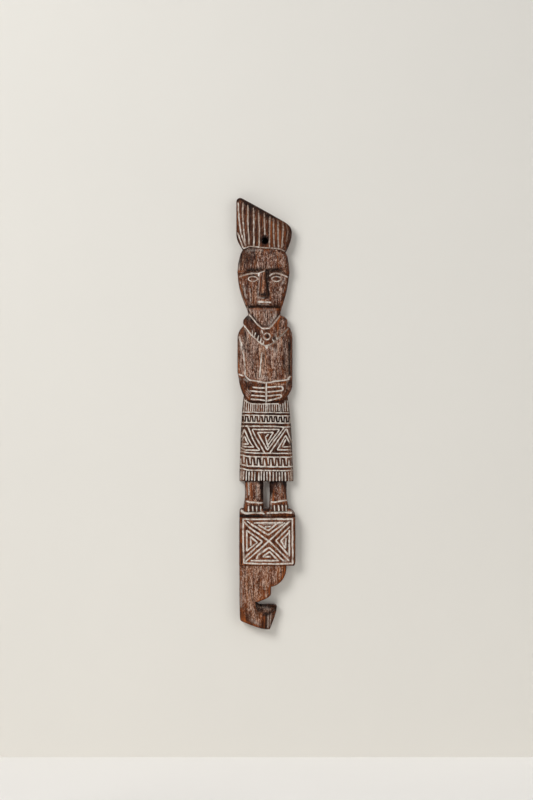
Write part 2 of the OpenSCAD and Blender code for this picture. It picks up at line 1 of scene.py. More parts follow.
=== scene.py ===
from functools import partial
import bpy
import numpy as np
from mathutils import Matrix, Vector


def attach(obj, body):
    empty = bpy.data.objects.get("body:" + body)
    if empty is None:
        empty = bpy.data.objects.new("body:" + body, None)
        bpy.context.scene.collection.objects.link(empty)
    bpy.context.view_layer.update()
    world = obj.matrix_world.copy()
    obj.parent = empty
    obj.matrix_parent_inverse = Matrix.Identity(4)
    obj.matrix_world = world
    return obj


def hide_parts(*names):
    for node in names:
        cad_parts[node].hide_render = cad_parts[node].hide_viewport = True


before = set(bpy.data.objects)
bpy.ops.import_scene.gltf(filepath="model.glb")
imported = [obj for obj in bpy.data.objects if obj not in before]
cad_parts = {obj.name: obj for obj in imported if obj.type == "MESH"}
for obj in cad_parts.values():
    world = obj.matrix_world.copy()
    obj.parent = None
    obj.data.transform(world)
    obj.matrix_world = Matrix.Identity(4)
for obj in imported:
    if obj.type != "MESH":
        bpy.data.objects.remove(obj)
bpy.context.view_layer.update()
scene = bpy.context.scene
print("frame loaded")

# Sizes are in millimetres: x to the right, z up, and a height stands out from the wall towards -y.
# A run is a row of points on the front. As text it has "x z" for each point, with commas between.
# An arc across the front has a thickness, a radius and the x of its middle.
toMetres = 0.001
tiny = 1e-9
noiseNet = 89
grid = {"across": 193, "rowStep": 0.55, "crowding": 0.3, "sideRings": 7, "tubeRings": 10, "backEvery": 3,
        "backInset": 0.7, "backChamfer": 1.1, "sideBow": 0.35}
cutShape = {"step": 0.8, "passes": 3, "bend": 6.0, "waver": 0.28, "waverLong": 3.4, "taper": 0.9}


def smooth(low, high, t):
    # 0 below low, 1 above high, and an S-curve between; low may be the larger one
    f = np.clip((t - low) / (high - low), 0, 1)
    return f * f * (3 - 2 * f)


def window(t, a, b, c, d):
    # 0 below a, up to 1 at b, down again from c, and 0 above d
    return smooth(a, b, t) * smooth(d, c, t)


def hill(t, middle, half):
    # a bell: 1 at its middle, and 1/e at half its width
    return np.exp(-((t - middle) / half) ** 2)


def spot(x, z, cx, cz, rx, rz):
    # a bell both ways, about one point of the front
    return hill(x, cx, rx) * hill(z, cz, rz)


def ripple(x, z, size, seed):
    # smooth noise from -1 to 1: random values on a square net, blended between its corners
    net = np.random.default_rng(seed).uniform(-1, 1, (noiseNet, noiseNet))
    gx, gz = np.asarray(x, float) / size, np.asarray(z, float) / size
    i, j = np.floor(gx).astype(int), np.floor(gz).astype(int)
    fx, fz = smooth(0, 1, gx - i), smooth(0, 1, gz - j)
    i0, i1, j0, j1 = i % noiseNet, (i + 1) % noiseNet, j % noiseNet, (j + 1) % noiseNet
    near = net[i0, j0] * (1 - fx) + net[i1, j0] * fx
    far = net[i0, j1] * (1 - fx) + net[i1, j1] * fx
    return near * (1 - fz) + far * fz


def run(points):
    # a run's points as numbers, from text or from pairs
    if isinstance(points, str):
        points = [p.split() for p in points.split(",")]
    return np.array(points, float)


def pulled(points, n=15):
    # a curve from the first of four points to the last, drawn towards the second and then the third
    t = np.linspace(0, 1, n)[:, None]
    a, b, c, d = run(points)
    return (1 - t) ** 3 * a + 3 * (1 - t) ** 2 * t * b + 3 * (1 - t) * t * t * c + t ** 3 * d


def joined(*runs):
    # runs end to end, with doubled points left out
    points = np.concatenate([np.atleast_2d(run(r)) for r in runs])
    return points[np.r_[True, np.linalg.norm(np.diff(points, axis=0), axis=1) > 1e-3]]


def stations(points):
    # how far along a run each of its points lies
    return np.r_[0, np.cumsum(np.linalg.norm(np.diff(points, axis=0), axis=1))]


def sampled(points, at):
    # points at given fractions of a run's length
    along = stations(points)
    return np.stack([np.interp(at * along[-1], along, points[:, k]) for k in (0, 1)], 1)


def softened(points, step, passes):
    # points at even steps along a run, each drawn to the middle of its neighbours a few times
    points = run(points)
    p = sampled(points, np.linspace(0, 1, max(3, int(stations(points)[-1] / step) + 1)))
    for _ in range(passes):
        p[1:-1] = 0.25 * p[:-2] + 0.5 * p[1:-1] + 0.25 * p[2:]
    return p


def sideways(path):
    # unit vectors square to a path
    way = np.gradient(path, axis=0)
    return np.stack([-way[:, 1], way[:, 0]], 1) / (np.linalg.norm(way, axis=1)[:, None] + tiny)


def levelOf(x, points):
    # height of a run above the x axis at each x
    points = run(points)
    return np.interp(x, points[:, 0], points[:, 1])


def lineGap(x, z, lines, reach=5.0):
    # distance from each point to the edge of the nearest line, below zero inside it, exact within reach
    gap = np.full(x.shape, reach)
    for path, width in lines:
        for a, b, wa, wb in zip(path[:-1], path[1:], width[:-1], width[1:]):
            low, high = np.minimum(a, b) - reach, np.maximum(a, b) + reach
            near = (x > low[0]) & (x < high[0]) & (z > low[1]) & (z < high[1])
            d = b - a
            px, pz = x[near] - a[0], z[near] - a[1]
            t = np.clip((px * d[0] + pz * d[1]) / (d @ d + 1e-12), 0, 1)
            off = np.hypot(px - t * d[0], pz - t * d[1]) - 0.5 * (wa + (wb - wa) * t)
            gap[near] = np.minimum(gap[near], off)
    return gap


def runGap(x, z, points, reach=14.0):
    # distance from each point to a run: a line without width
    points = run(points)
    return lineGap(x, z, [(points, np.zeros(len(points)))], reach)


def stroked(x, z, path, half, strength):
    # a soft stroke along a run, strongest on it
    return strength * hill(runGap(x, z, softened(path, 1.0, 4)), 0, half)


def streaked(x, z, runs, half):
    # soft dark streaks along runs, added up
    return sum(0.5 * hill(runGap(x, z, softened(r, 2.0, 4)), 0, half) for r in runs)


def blurred(a, passes):
    # each value drawn to the mean of its neighbours, along rows and then along columns
    for _ in range(passes):
        p = np.pad(a, 1, mode="edge")
        a = 0.25 * (p[1:-1, :-2] + 2 * p[1:-1, 1:-1] + p[1:-1, 2:])
        p = np.pad(a, 1, mode="edge")
        a = 0.25 * (p[:-2, 1:-1] + 2 * p[1:-1, 1:-1] + p[2:, 1:-1])
    return a


def crown(x, thick, radius, middle):
    # a front that is rounded across: a circle's arc, thickest over its middle line
    return thick - (radius - np.sqrt(np.maximum(radius ** 2 - (x - middle) ** 2, 1)))


def rollOver(gap, radius):
    # how far an edge falls away: a quarter circle of the radius, met at the edge
    g = np.clip(gap, 0, radius)
    return radius - np.sqrt(np.maximum(radius ** 2 - (radius - g) ** 2, 0))


def cutLine(points, width, ends=0.75, wobble=0.3, seed=0):
    # a hand-cut line as its path and widths: softened, wavering, and drawn in at both ends
    s = cutShape
    path = softened(points, s["step"], s["passes"])
    along = np.linspace(0, stations(run(points))[-1], len(path))
    path = path + sideways(path) * wobble * ripple(along, seed * 3.7, s["bend"], 41)[:, None]
    taper = ends + (1 - ends) * np.minimum(1, np.minimum(along, along[::-1]) / (s["taper"] * width))
    return path, width * taper * (1 + s["waver"] * ripple(along, seed * 5.3, s["waverLong"], 42))


def cutLines(runs, seed, **shape):
    # one cut line for each run, all of the same shape, with seeds that count up
    return [cutLine(r, seed=seed + i, **shape) for i, r in enumerate(runs)]


def tooth(points, rootWidth, tipWidth, seed):
    # a tooth of a band: a short line that narrows from its root to its tip
    at = np.arange(9.0)
    wide = np.linspace(rootWidth, tipWidth, len(at)) * (1 + 0.12 * ripple(at, seed, 3, 43))
    return sampled(run(points), at / at[-1]), wide


def ellipse(x, z, half, tall, pointed=1.0):
    # a ring of points: an ellipse, with its two ends drawn to points where pointed is above 1
    a = np.linspace(0, 2 * np.pi, 41)
    return np.stack([x + half * np.cos(a), z + tall * np.sign(np.sin(a)) * np.abs(np.sin(a)) ** pointed], 1)


def planGrid(part):
    # a net over a part: straight blend of its sides plus that of its top and bottom, less that of the corners
    left, right = run(part["left"]), run(part["right"])
    rows = int(max(stations(left)[-1], stations(right)[-1]) / grid["rowStep"]) + 1
    t, v = np.linspace(0, 1, grid["across"]), np.linspace(0, 1, rows)
    u = t - grid["crowding"] * np.sin(2 * np.pi * t) / (2 * np.pi)  # closer together near both edges
    if part.get("level"):
        z = np.linspace(left[0, 1], left[-1, 1], rows)
        left, right = [np.stack([np.interp(-z, -s[:, 1], s[:, 0]), z], 1) for s in (left, right)]
    else:
        rightAt, leftAt = part.get("match", ([0, 1], [0, 1]))  # how far down each side a row starts and ends
        left, right = sampled(left, np.interp(v, rightAt, leftAt)), sampled(right, v)
    top, bottom = [sampled(joined(a, part.get(side, [a]), b), u)
                   for side, a, b in (("top", left[0], right[0]), ("bottom", left[-1], right[-1]))]
    v, u = v[:, None, None], u[None, :, None]
    corners = (1 - u) * ((1 - v) * left[0] + v * left[-1]) + u * ((1 - v) * right[0] + v * right[-1])
    return (1 - u) * left[:, None] + u * right[:, None] + (1 - v) * top + v * bottom - corners


def rolledEdges(part):
    # each rolled edge with its radius; an end without a run of its own is straight between the two sides
    straight = [run(part["left"])[-1], run(part["right"])[-1]]
    return [(part.get(side, straight), radius) for side, radius in part["rolls"].items()]


def skin(part, x, z):
    # front height of a part: its form, rolled over along each of its edges
    falls = [rollOver(runGap(x, z, edge), radius) for edge, radius in rolledEdges(part)]
    return part["form"](x, z) - np.max(falls, axis=0)


hewnMarks = [(0.75, 0.45, 9.0, 11), (0.45, 0.5, 4.3, 12),  # facets: weight, shrink along the grain, size, seed
             (0.42, 0.07, 1.5, 13), (0.294, 0.11, 0.9, 14)]  # fine ridges, likewise
frontLook = {"shoulder": 1.5, "cutSlope": (0.35, -0.7), "limeEdge": 0.4, "limeReach": 0.45, "ridge": 1.9,
             "hollow": 0.55, "most": 0.8, "edgeWear": 0.5, "edgeShade": 0.45, "edgeBare": 0.5, "rubBare": 1.1,
             "blurs": (30, 8)}
backLook = {"least": 0.12, "wide": 13.0, "long": 27.0, "depth": 0.5, "wear": 0.16, "stain": 0.30, "dust": 0.34,
            "rimWear": 0.55, "patches": 0.3, "holeStain": 0.8, "sidePatches": 0.16, "fuzz": 0.05, "lift": (0.02, 1)}
sharpAngles = {"wood": 42, "lime": 60}


def hewn(x, z, depth):
    # knife-cut unevenness: broad shallow facets, and fine ridges that run with the grain
    return depth * sum(weight * ripple(x, z * shrink, size, seed) for weight, shrink, size, seed in hewnMarks)


def adzed(x, z):
    # the flat back as a wide gouge left it: shallow troughs side by side along the grain, in wavering steps
    u = (x / backLook["wide"] + 0.55 * ripple(x * 0.2, z, 24.0, 21)) % 1 - 0.5
    v = (z / backLook["long"] + 0.5 * ripple(x, z * 0.2, 11.0, 34)) % 1 - 0.5
    return backLook["depth"] * (0.65 * (1 - 4 * u * u) + 0.35 * (1 - 4 * v * v))


def openHole(plan, hole):
    # the net is drawn back from a square of cells until the square's rim is a circle
    middle = np.array([hole["x"], hole["z"]])
    way = plan - middle
    r = np.linalg.norm(way, axis=-1) + tiny
    ci, cj = np.unravel_index(np.argmin(r), r.shape)
    i, j = np.indices(r.shape)
    k = hole["cells"]
    n = np.maximum(np.abs(i - ci), np.abs(j - cj)) / k
    t = smooth(1, 1 + hole["reach"], n)
    goal = hole["radius"] * (1 - t) + r * t
    plan = np.where((n >= 1)[..., None], middle + way * (goal / r)[..., None], plan)
    return plan, (ci - k, ci + k, cj - k, cj + k)


def sheet(ids):
    # four-sided faces over a net of point numbers; a net turned on its side gives the other way round
    return np.stack([ids[:-1, :-1], ids[1:, :-1], ids[1:, 1:], ids[:-1, 1:]], -1).reshape(-1, 4)


def closed(ids):
    # a net whose last column meets its first
    return np.c_[ids, ids[:, :1]]


def toBack(edge):
    # points on straight lines from an edge of the front to just before the back
    k = np.linspace(0, 1, grid["sideRings"] + 1)[1:, None]
    low = edge * [1, 0, 1] - [0, grid["backChamfer"], 0]
    return edge[:, None] * (1 - k) + low[:, None] * k


def wall(edge, sign):
    # a side wall, gently hollowed and uneven
    w = toBack(edge)
    bow = np.sin(np.pi * np.linspace(0, 1, grid["sideRings"] + 1)[1:] ** 0.8)
    w[..., 0] += sign * grid["sideBow"] * bow * ripple(w[..., 2] * 0.6, w[..., 1] * 2, 5.0, 23)
    return w


def frontMarks(part, x, z, height, gap):
    # how limed, worn, darkened and flecked the front is: by its lines, ridges, hollows and edges, with painted
    # shade along the edges, and by listed strokes, some of them painted highlights
    s = frontLook
    edge = np.min([runGap(x, z, e) for e, _ in rolledEdges(part)], axis=0)
    broad, fine = [blurred(height, passes) for passes in s["blurs"]]
    uneven = np.clip(0.5 + 0.5 * ripple(x, z, 7.0, 25) + 0.8 * ripple(x, z, 19.0, 33), 0, 1.6)
    limed = s["limeEdge"] * hill(np.maximum(gap, 0), 0, s["limeReach"])
    wear = part.get("warm", 0.0) + np.clip(s["ridge"] * (height - fine), 0, s["most"])
    wear = wear + part.get("edgeWear", s["edgeWear"]) * hill(edge, 1.8, 1.8) * uneven
    # darker in hollows, and painted shade along the rolled edges
    stain = np.clip(s["hollow"] * (broad - height), 0, s["most"]) + s["edgeShade"] * hill(edge, 0, 1.5)
    dust = part["dust"](x, z) - s["edgeBare"] * hill(edge, 0, 3.5)
    for smear in part["smears"]:
        limed = np.maximum(limed, stroked(x, z, *smear))
    for rub in part["worn"]:
        rub = stroked(x, z, *rub)
        wear, dust = np.maximum(wear, rub), dust - s["rubBare"] * rub
    return {"limed": limed, "wear": wear, "stain": np.clip(stain + part["stainedAndShaded"](x, z), 0, 1), "dust": dust}


def backMarks(part, x, z):
    # the same for the back: worn at its rim, patchy, and dark in the troughs and round the hole
    s = backLook
    rim = np.min([runGap(x, z, part[side]) for side in ("left", "right", *part.get("ends", []))], axis=0)
    wear = s["wear"] + s["rimWear"] * hill(rim, 0, 2.6) * (1 + ripple(x, z, 8.0, 51))
    stain = s["stain"] + s["patches"] * (ripple(x, z * 0.3, 21.0, 53) - adzed(x, z))
    return {"limed": np.zeros(x.shape), "wear": wear + s["patches"] * ripple(x, z * 0.2, 12.0, 52),
            "stain": stain + s["holeStain"] * hill(np.maximum(np.hypot(x, z) - 5, 0), 0, 4),
            "dust": s["dust"] + s["patches"] * ripple(x, z * 0.35, 15.0, 54)}


def meshPiece(name, points, quads, tris, marks, material, slotName, node):
    # points, four-sided and three-sided faces and named marks go into one mesh, which rides on the plank's body
    used = np.zeros(len(points), bool)
    used[quads] = used[tris] = True
    place = np.cumsum(used) - 1
    points, quads, tris = points[used], place[quads], place[tris]
    mesh = bpy.data.meshes.new(name)
    mesh.vertices.add(len(points))
    mesh.vertices.foreach_set("co", (points * toMetres).astype(np.float32).ravel())
    mesh.loops.add(quads.size + tris.size)
    mesh.loops.foreach_set("vertex_index", np.r_[quads.ravel(), tris.ravel()].astype(np.int32))
    mesh.polygons.add(len(quads) + len(tris))
    starts = np.r_[np.arange(len(quads)) * 4, quads.size + np.arange(len(tris)) * 3]
    mesh.polygons.foreach_set("loop_start", starts.astype(np.int32))
    mesh.update(calc_edges=True)
    mesh.shade_smooth()
    mesh.set_sharp_from_angle(angle=np.radians(sharpAngles[slotName]))
    for key, values in marks.items():
        mesh.attributes.new(key, "FLOAT", "POINT").data.foreach_set("value", values[used].astype(np.float32))
    piece = bpy.data.objects.new(name, mesh)
    scene.collection.objects.link(piece)
    mesh.materials.append(material)
    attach(piece, "root")
    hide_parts(node)
    print(name, len(points), "points", 2 * len(quads) + len(tris), "triangles")


def carve(name, part, material):
    # a closed solid: front net, side walls, back net and two end faces, all on the same rows
    plan, hole, rings = planGrid(part), part.get("hole"), grid["sideRings"]
    if hole:
        plan, (i0, i1, j0, j1) = openHole(plan, hole)
    rows, cols = plan.shape[:2]
    x, z = plan[..., 0], plan[..., 1]
    gap = lineGap(x, z, sum(part["fills"].values(), []))
    shoulder = part["shoulder"] * hill(np.maximum(gap, 0), 0, frontLook["shoulder"])
    height = skin(part, x, z) + hewn(x, z, part["hewn"]) - shoulder
    if hole:
        rim = np.hypot(x - hole["x"], z - hole["z"]) - hole["radius"]
        height = height - rollOver(np.maximum(rim, 0), hole["roll"])
    height = height - part["cut"] * smooth(*frontLook["cutSlope"], gap)
    front = np.stack([x, -height, z], -1)

    ratio = 1 if hole else grid["backEvery"]  # columns of the front to each column of the back
    bx, bz = x[:, ::ratio].copy(), z[:, ::ratio]
    bx[:, 0] += grid["backInset"]
    bx[:, -1] -= grid["backInset"]
    lift = backLook["least"] + adzed(bx, bz) + backLook["fuzz"] * ripple(bx * 0.3, bz, 1.9, 22)
    back = np.stack([bx, -np.clip(lift, *backLook["lift"]), bz], -1)[:, ::-1]
    ring = np.concatenate([front, wall(front[:, -1], 1), back, wall(front[:, 0], -1)[:, ::-1]], 1)
    count = ring.shape[1]
    ends = cols, cols + rings, count - rings, count
    onRight, onBack, onLeft = [slice(a, b) for a, b in zip(ends, ends[1:])]
    ids = np.arange(rows * count).reshape(rows, count)
    backIds = ids[:, onBack][:, ::-1]  # left to right
    keep = np.ones((rows - 1, count), bool)
    points, quads, tris = [ring.reshape(-1, 3)], [], [np.zeros((0, 3), int)]
    if hole:
        first = cols + rings + cols - 1 - j1
        keep[i0:i1, j0:j1] = keep[i0:i1, first:first + j1 - j0] = False
        down, over = np.arange(i0, i1), np.arange(j0, j1)
        li = np.r_[over * 0 + i0, down, over * 0 + i1, down[::-1] + 1]  # once round the square
        lj = np.r_[over, down * 0 + j1, over[::-1] + 1, down * 0 + j0]
        near, far = ids[li, lj], backIds[li, lj]
        t = np.linspace(0, 1, grid["tubeRings"] + 2)[1:-1, None, None]
        tube = points[0][near] * (1 - t) + points[0][far] * t
        tubeIds = ids.size + np.arange(tube.size // 3).reshape(tube.shape[:2])
        points.append(tube.reshape(-1, 3))
        quads.append(sheet(closed(np.concatenate([near[None], tubeIds, far[None]]))))
    quads.append(sheet(closed(ids))[keep.ravel()])

    for row, up in ((0, True), (rows - 1, False)):  # end faces: rungs from the front's row to the back's
        new = sum(map(len, points)) + np.arange(rings * (cols - 2)).reshape(rings, cols - 2)
        points.append(toBack(front[row, 1:-1]).swapaxes(0, 1).reshape(-1, 3))
        levels = np.r_[ids[row, None, :cols], np.c_[ids[row, onLeft][::-1], new, ids[row, onRight]]]
        last, rear = levels[-1], backIds[row]
        if ratio == 1:
            levels = np.r_[levels, rear[None]]
        else:
            f0, f1, f2, f3, r0, r1 = last[:-1:3], last[1::3], last[2::3], last[3::3], rear[:-1], rear[1:]
            fan = (f0, f1, r0), (f1, f2, r0), (f2, r1, r0), (f2, f3, r1)
            fan = np.concatenate([np.stack(corners, -1) for corners in fan])
            tris.append(fan if up else fan[:, ::-1])
        quads.append(sheet(levels.T) if up else sheet(levels.T)[:, ::-1])

    points = np.concatenate(points)
    marks, rearMarks = frontMarks(part, x, z, height, gap), backMarks(part, bx, bz)
    fade = np.linspace(1, 0, rings + 1)[1:] ** 2
    for key, mark in marks.items():
        plain = part["around"].get(key, 0.0)
        shown = np.full((rows, count), plain)
        shown[:, :cols] = mark
        shown[:, onRight] += (mark[:, -1:] - plain) * fade
        shown[:, onLeft] += (mark[:, :1] - plain) * fade[::-1]
        if key in ("stain", "wear"):
            sx, sy, sz = np.moveaxis(ring[:, cols:], -1, 0)
            shown[:, cols:] += backLook["sidePatches"] * ripple(sz * 0.35, sy + 0.3 * sx, 8.0, 55 + len(key))
        shown[:, onBack] = rearMarks[key][:, ::-1]
        marks[key] = np.r_[shown.ravel(), np.full(len(points) - shown.size, plain)]
    if hole:
        # painted shade: the inside of the hanging hole is painted black
        marks["stain"][tubeIds] = hole["stain"]
    quads, tris = np.concatenate(quads), np.concatenate(tris)
    meshPiece(name, points, quads, tris, marks, material, "wood", "carved_plank")


limeShape = {"lanes": 7, "sink": 0.5, "dish": 0.14, "under": 0.05}


def limeFill(node, part, lines, material):
    # lime in cut lines: along each path a closed strip, dished on top, that sits on the floor of the cut
    s = limeShape
    lanes = np.linspace(-1, 1, s["lanes"])
    strips = [p[:, None] + sideways(p)[:, None] * (0.5 * lanes * w[:, None])[..., None] for p, w in lines]
    x, z = np.concatenate([strip.reshape(-1, 2) for strip in strips]).T
    surface = skin(part, x, z)
    uneven = 0.22 * ripple(x, z, 1.7, 31) + 0.2 * ripple(x, z, 5.5, 32)
    upper = surface - s["sink"] + uneven + s["dish"] * np.tile(lanes, len(x) // len(lanes)) ** 2
    lower = surface - part["cut"] - s["under"]
    points = np.stack([np.r_[x, x], -np.r_[upper, lower], np.r_[z, z]], 1)
    faces, first = [], 0
    for strip in strips:
        top = first + np.arange(strip.size // 2).reshape(strip.shape[:2])
        low = top + len(x)
        first += top.size
        faces += [sheet(top), sheet(low.T),
                  sheet(np.stack([top[:, 0], low[:, 0]])), sheet(np.stack([top[:, -1], low[:, -1]], 1)),
                  sheet(np.stack([top[0], low[0]], 1)), sheet(np.stack([top[-1], low[-1]]))]
    rubbed = part["rubbed"](x, z) if "rubbed" in part else np.zeros(len(x))
    meshPiece(node.replace("_lime", "_limework"), points, np.concatenate(faces), np.zeros((0, 3), int),
              {"rubbed": np.r_[rubbed, rubbed]}, material, "lime", node)


# headdress: flutes that fan out from the brim, and the hole that the carving hangs by
flutes = ["-44.3 14.4, -34.6 -11.7", "-43 62.4, -42.1 40, -39 12.8, -30.6 -8.5",
          "-34.9 62.4, -36.2 46.4, -33.9 12.8, -31.8 -2.6", "-27.4 58.1, -27.7 33.6, -25.4 -6.4",
          "-18.6 53.6, -17.9 20.8, -17.9 -9.6", "-10.4 49.6, -9.1 14.4, -9.6 -9.6", "-1.3 44.8, -0.2 9.1",
          "7.7 39.2, 6.9 -10.4", "13.4 36.8, 14.4 -10.4", "20.6 33.9, 21.3 -11",
          "27.8 31.4, 29.4 20.8, 26.6 -11"]
brimLine = run("-35.3 -13, -24.6 -9.3, -8 -11, 12.8 -12.3, 25.6 -13.8, 32.5 -17")
tipCurve = pulled("-36.5 68.7, -42.5 71.7, -46 67.3, -46 62", 21)
shoulderCurve = pulled("27.5 33, 36.5 28.3, 43 23.5, 43 14", 21)
headdressTop = joined(tipCurve[10::-1], shoulderCurve[:11])
headdressArc = (24.0, 150.0, 0)


def topStrip(x, z, least):
    # a strip along the slanted top that fades downwards, narrowest at the tip
    return hill(runGap(x, z, headdressTop), 0, least + 5 * smooth(-44, -22, x))


def headdressRubbed(x, z):
    # lime is thin along the slanted top, towards the right, and on part of the brim
    brim = (0.5 * hill(x, -21, 7) - 0.1) * smooth(-5, -8.5, z)
    return 0.18 + 0.2 * smooth(2, 10, x) + 0.9 * topStrip(x, z, 6) + 0.5 * smooth(29, 34, x) + brim


def headdressStainAndShade(x, z):
    # dark along the slanted top and between the left flutes; painted shade round the hole and at the right end
    top = 1.15 * topStrip(x, z, 5) * smooth(34, 2, x)
    # painted shade round the hole's mouth
    hole = 0.9 * hill(np.maximum(np.hypot(x, z - 1) - 5, 0), 0, 2.2)
    left = 0.5 * hill(x, -23, 3.2) * smooth(8, 20, z) + 0.24 * smooth(-2, -10, x) * smooth(18, 8, z)
    # painted shade at the right end
    return 0.2 + top + hole + left + 0.45 * smooth(31, 39, x)


headdress = {
    "left": joined(tipCurve[10:], "-46 13", pulled("-46 13, -46 2, -40.8 -5, -35.3 -14")),
    "right": joined(shoulderCurve[10:], pulled("43 14, 43 2, 38 -8, 33.5 -17")),
    "top": headdressTop, "bottom": brimLine - [0, 0.6], "ends": ["top"],
    "rolls": {"left": 3.5, "right": 4.0, "top": 5.5, "bottom": 1.2},
    "hole": {"x": 0.0, "z": 0.0, "radius": 5.0, "cells": 11, "reach": 1.6, "roll": 1.3, "stain": 2.0},
    "form": lambda x, z: crown(x, *headdressArc), "hewn": 0.3, "cut": 1.9, "shoulder": 0.5,
    "dust": lambda x, z: 0.34 + 0.2 * smooth(10, 30, x) * smooth(20, 0, z),
    "rubbed": headdressRubbed, "stainedAndShaded": headdressStainAndShade, "around": {"wear": 0.12, "stain": 0.52, "dust": 0.34},
    "fills": {"headdress_lime": cutLines(flutes, 100, width=2.1, ends=0.35) + [
        cutLine("34.1 27.5, 36.6 14.4, 34.1 0", 1.4, seed=112),
        cutLine("-35.2 -12.3, -24.6 -8.5, -8 -10.4, 12.8 -11.7, 25.6 -13, 31.5 -16.3", 1.8, seed=113)]},
    "smears": [],
    "worn": [([(x, 33 - 0.35 * x), (x + 0.5, -6)], 1.7, 0.75) for x in (10.6, 17.2, 24.2)] + [
        ("31.5 24, 31 -4", 1.6, 0.6), ("-13.4 8, -13.6 -8", 1.7, 0.6), ("-21.6 2, -21 -7", 1.6, 0.5),
        ("4 24, 4 12", 1.5, 0.5)],
}

# head: an overhanging forehead, a long nose, almond eyes and a straight mouth
headSizes = {"forehead": 27.0, "foreheadRound": 125.0, "foreheadZ": -48.5, "face": 22.5, "faceRound": 110.0,
             "middle": -2.4, "browStep": 5.5, "noseRoot": -47.0, "noseTip": -88.4, "noseFoot": (-91.2, -88.0),
             "noseOut": (2.4, 6.2), "noseHalf": (2.8, 4.8), "noseX": -1.3, "lipOut": 1.9,
             "eyes": (-19.5, 18.2), "eyeZ": -60.6, "eyeOut": 1.6, "socket": 2.0, "socketZ": -59.5}
browLine = run("-38 -54, -30 -51.5, -20 -50, -10 -50, 0 -47.5, 8 -50, 20 -49.5, 30 -51.5, 36 -55")
faceStreaks = ["-38 -22, -38.4 -46", "-28.5 -66, -26.8 -84, -26 -97", "-21.6 -78, -21 -96",
               "-36.4 -72, -32.6 -92"]


def headForm(x, z):
    # a ball for the forehead and an arc for the face, joined along the brows, with nose, eyes and lips added
    s = headSizes
    ball = s["foreheadRound"] ** 2 - (x - s["middle"]) ** 2 - (z - s["foreheadZ"]) ** 2
    forehead = s["forehead"] - s["foreheadRound"] + np.sqrt(np.maximum(ball, 1))
    face = crown(x, s["face"], s["faceRound"], s["middle"])
    for ex in s["eyes"]:
        eye = ((x - ex) / 7.6) ** 2 + ((z - s["eyeZ"]) / 4.4) ** 2
        face = face - s["socket"] * spot(x, z, ex, s["socketZ"], 13, 8.5) + s["eyeOut"] * np.exp(-eye ** 1.5)
    t = np.clip((s["noseRoot"] - z) / (s["noseRoot"] - s["noseTip"]), 0, 1)
    half = s["noseHalf"][0] + s["noseHalf"][1] * t ** 2
    across = np.clip(1 - np.abs((x - s["noseX"]) / half) ** 2.4, 0, 1) ** 0.8
    nose = (s["noseOut"][0] + s["noseOut"][1] * t) * across * smooth(*s["noseFoot"], z)
    lips = s["lipOut"] * np.exp(-(((x + 0.6) / 13) ** 2 + ((z + 98) / 5.2) ** 2) ** 1.4)
    face = face + nose + lips
    brow = levelOf(x, browLine)
    b = smooth(brow - 1.0, brow + s["browStep"], z)
    return np.maximum(face * (1 - b) + forehead * b, 0.75 * face)


def headDust(x, z):
    # flecks are thickest on the right of the forehead, on both cheeks and down the nose
    spots = [(0.16, 14, -36, 16, 14), (0.22, 19, -80, 12, 17), (0.2, -21, -80, 11, 16)]
    nose = 0.25 * hill(x, -3.5, 4) * window(z, -90, -84, -62, -54)
    left = 0.08 * smooth(-8, -22, x) * smooth(-46, -34, z)
    return 0.64 + sum(strength * spot(x, z, *place) for strength, *place in spots) + nose - left


def headStainAndShade(x, z):
    # dark at the forehead's left, in and beside the pupils, and in streaks on the left of the face; painted shade
    # under the forehead's edge, beside and below the nose, under the brows, at the mouth's corners, under the chin
    # and down the right side
    down = smooth(-54, -66, z)
    # painted shade under the forehead's overhanging edge
    under = hill(z - levelOf(x, browLine), 3.8, 3.9) * smooth(33, 26, np.abs(x + 2))
    under = under * (0.45 + 0.65 * smooth(-1, -8, x) + 0.65 * smooth(4, 9, x))
    # painted shade on the nose's right side
    noseSide = hill(x + 0.9 * down + 0.03 * (z + 50), 3.5, 4.6 - 1.6 * down) * window(z, -92, -86, -50, -44)
    # painted shade under the nose tip
    tip = 1.5 * hill(x, -0.5, 8) * hill(z - 0.02 * (x + 2) ** 2, -86.6, 2.6)
    # painted shade under the chin
    chin = 0.95 * smooth(-102.4, -104.6, z + 0.9 * ripple(x, z, 6.0, 26))
    # dark pupils and spots beside them, and painted shade under each brow
    eyes = sum(hill(np.abs(x - ex), 3.7, 1.7) * hill(z, -60, 2) + 0.3 * spot(x, z, ex, -60.4, 5, 2.3)
               + 1.3 * hill(x, ex, 9) * hill(z + 0.035 * (x - ex) ** 2, -54.5, 1.5) for ex in headSizes["eyes"])
    # painted shade at the mouth's corners
    corner = 0.55 * smooth(31, 24, np.abs(x + 2)) * smooth(-96, -104, z)
    dark = 0.95 * under + 0.9 * noseSide + tip + chin + 0.9 * eyes + corner + streaked(x, z, faceStreaks, 1.2)
    # dark at the forehead's left, and painted shade down the right side
    return 0.62 * smooth(-8, -24, x) * smooth(-46, -34, z) + np.clip(dark, 0, 1) + 0.35 * smooth(31, 37, x)


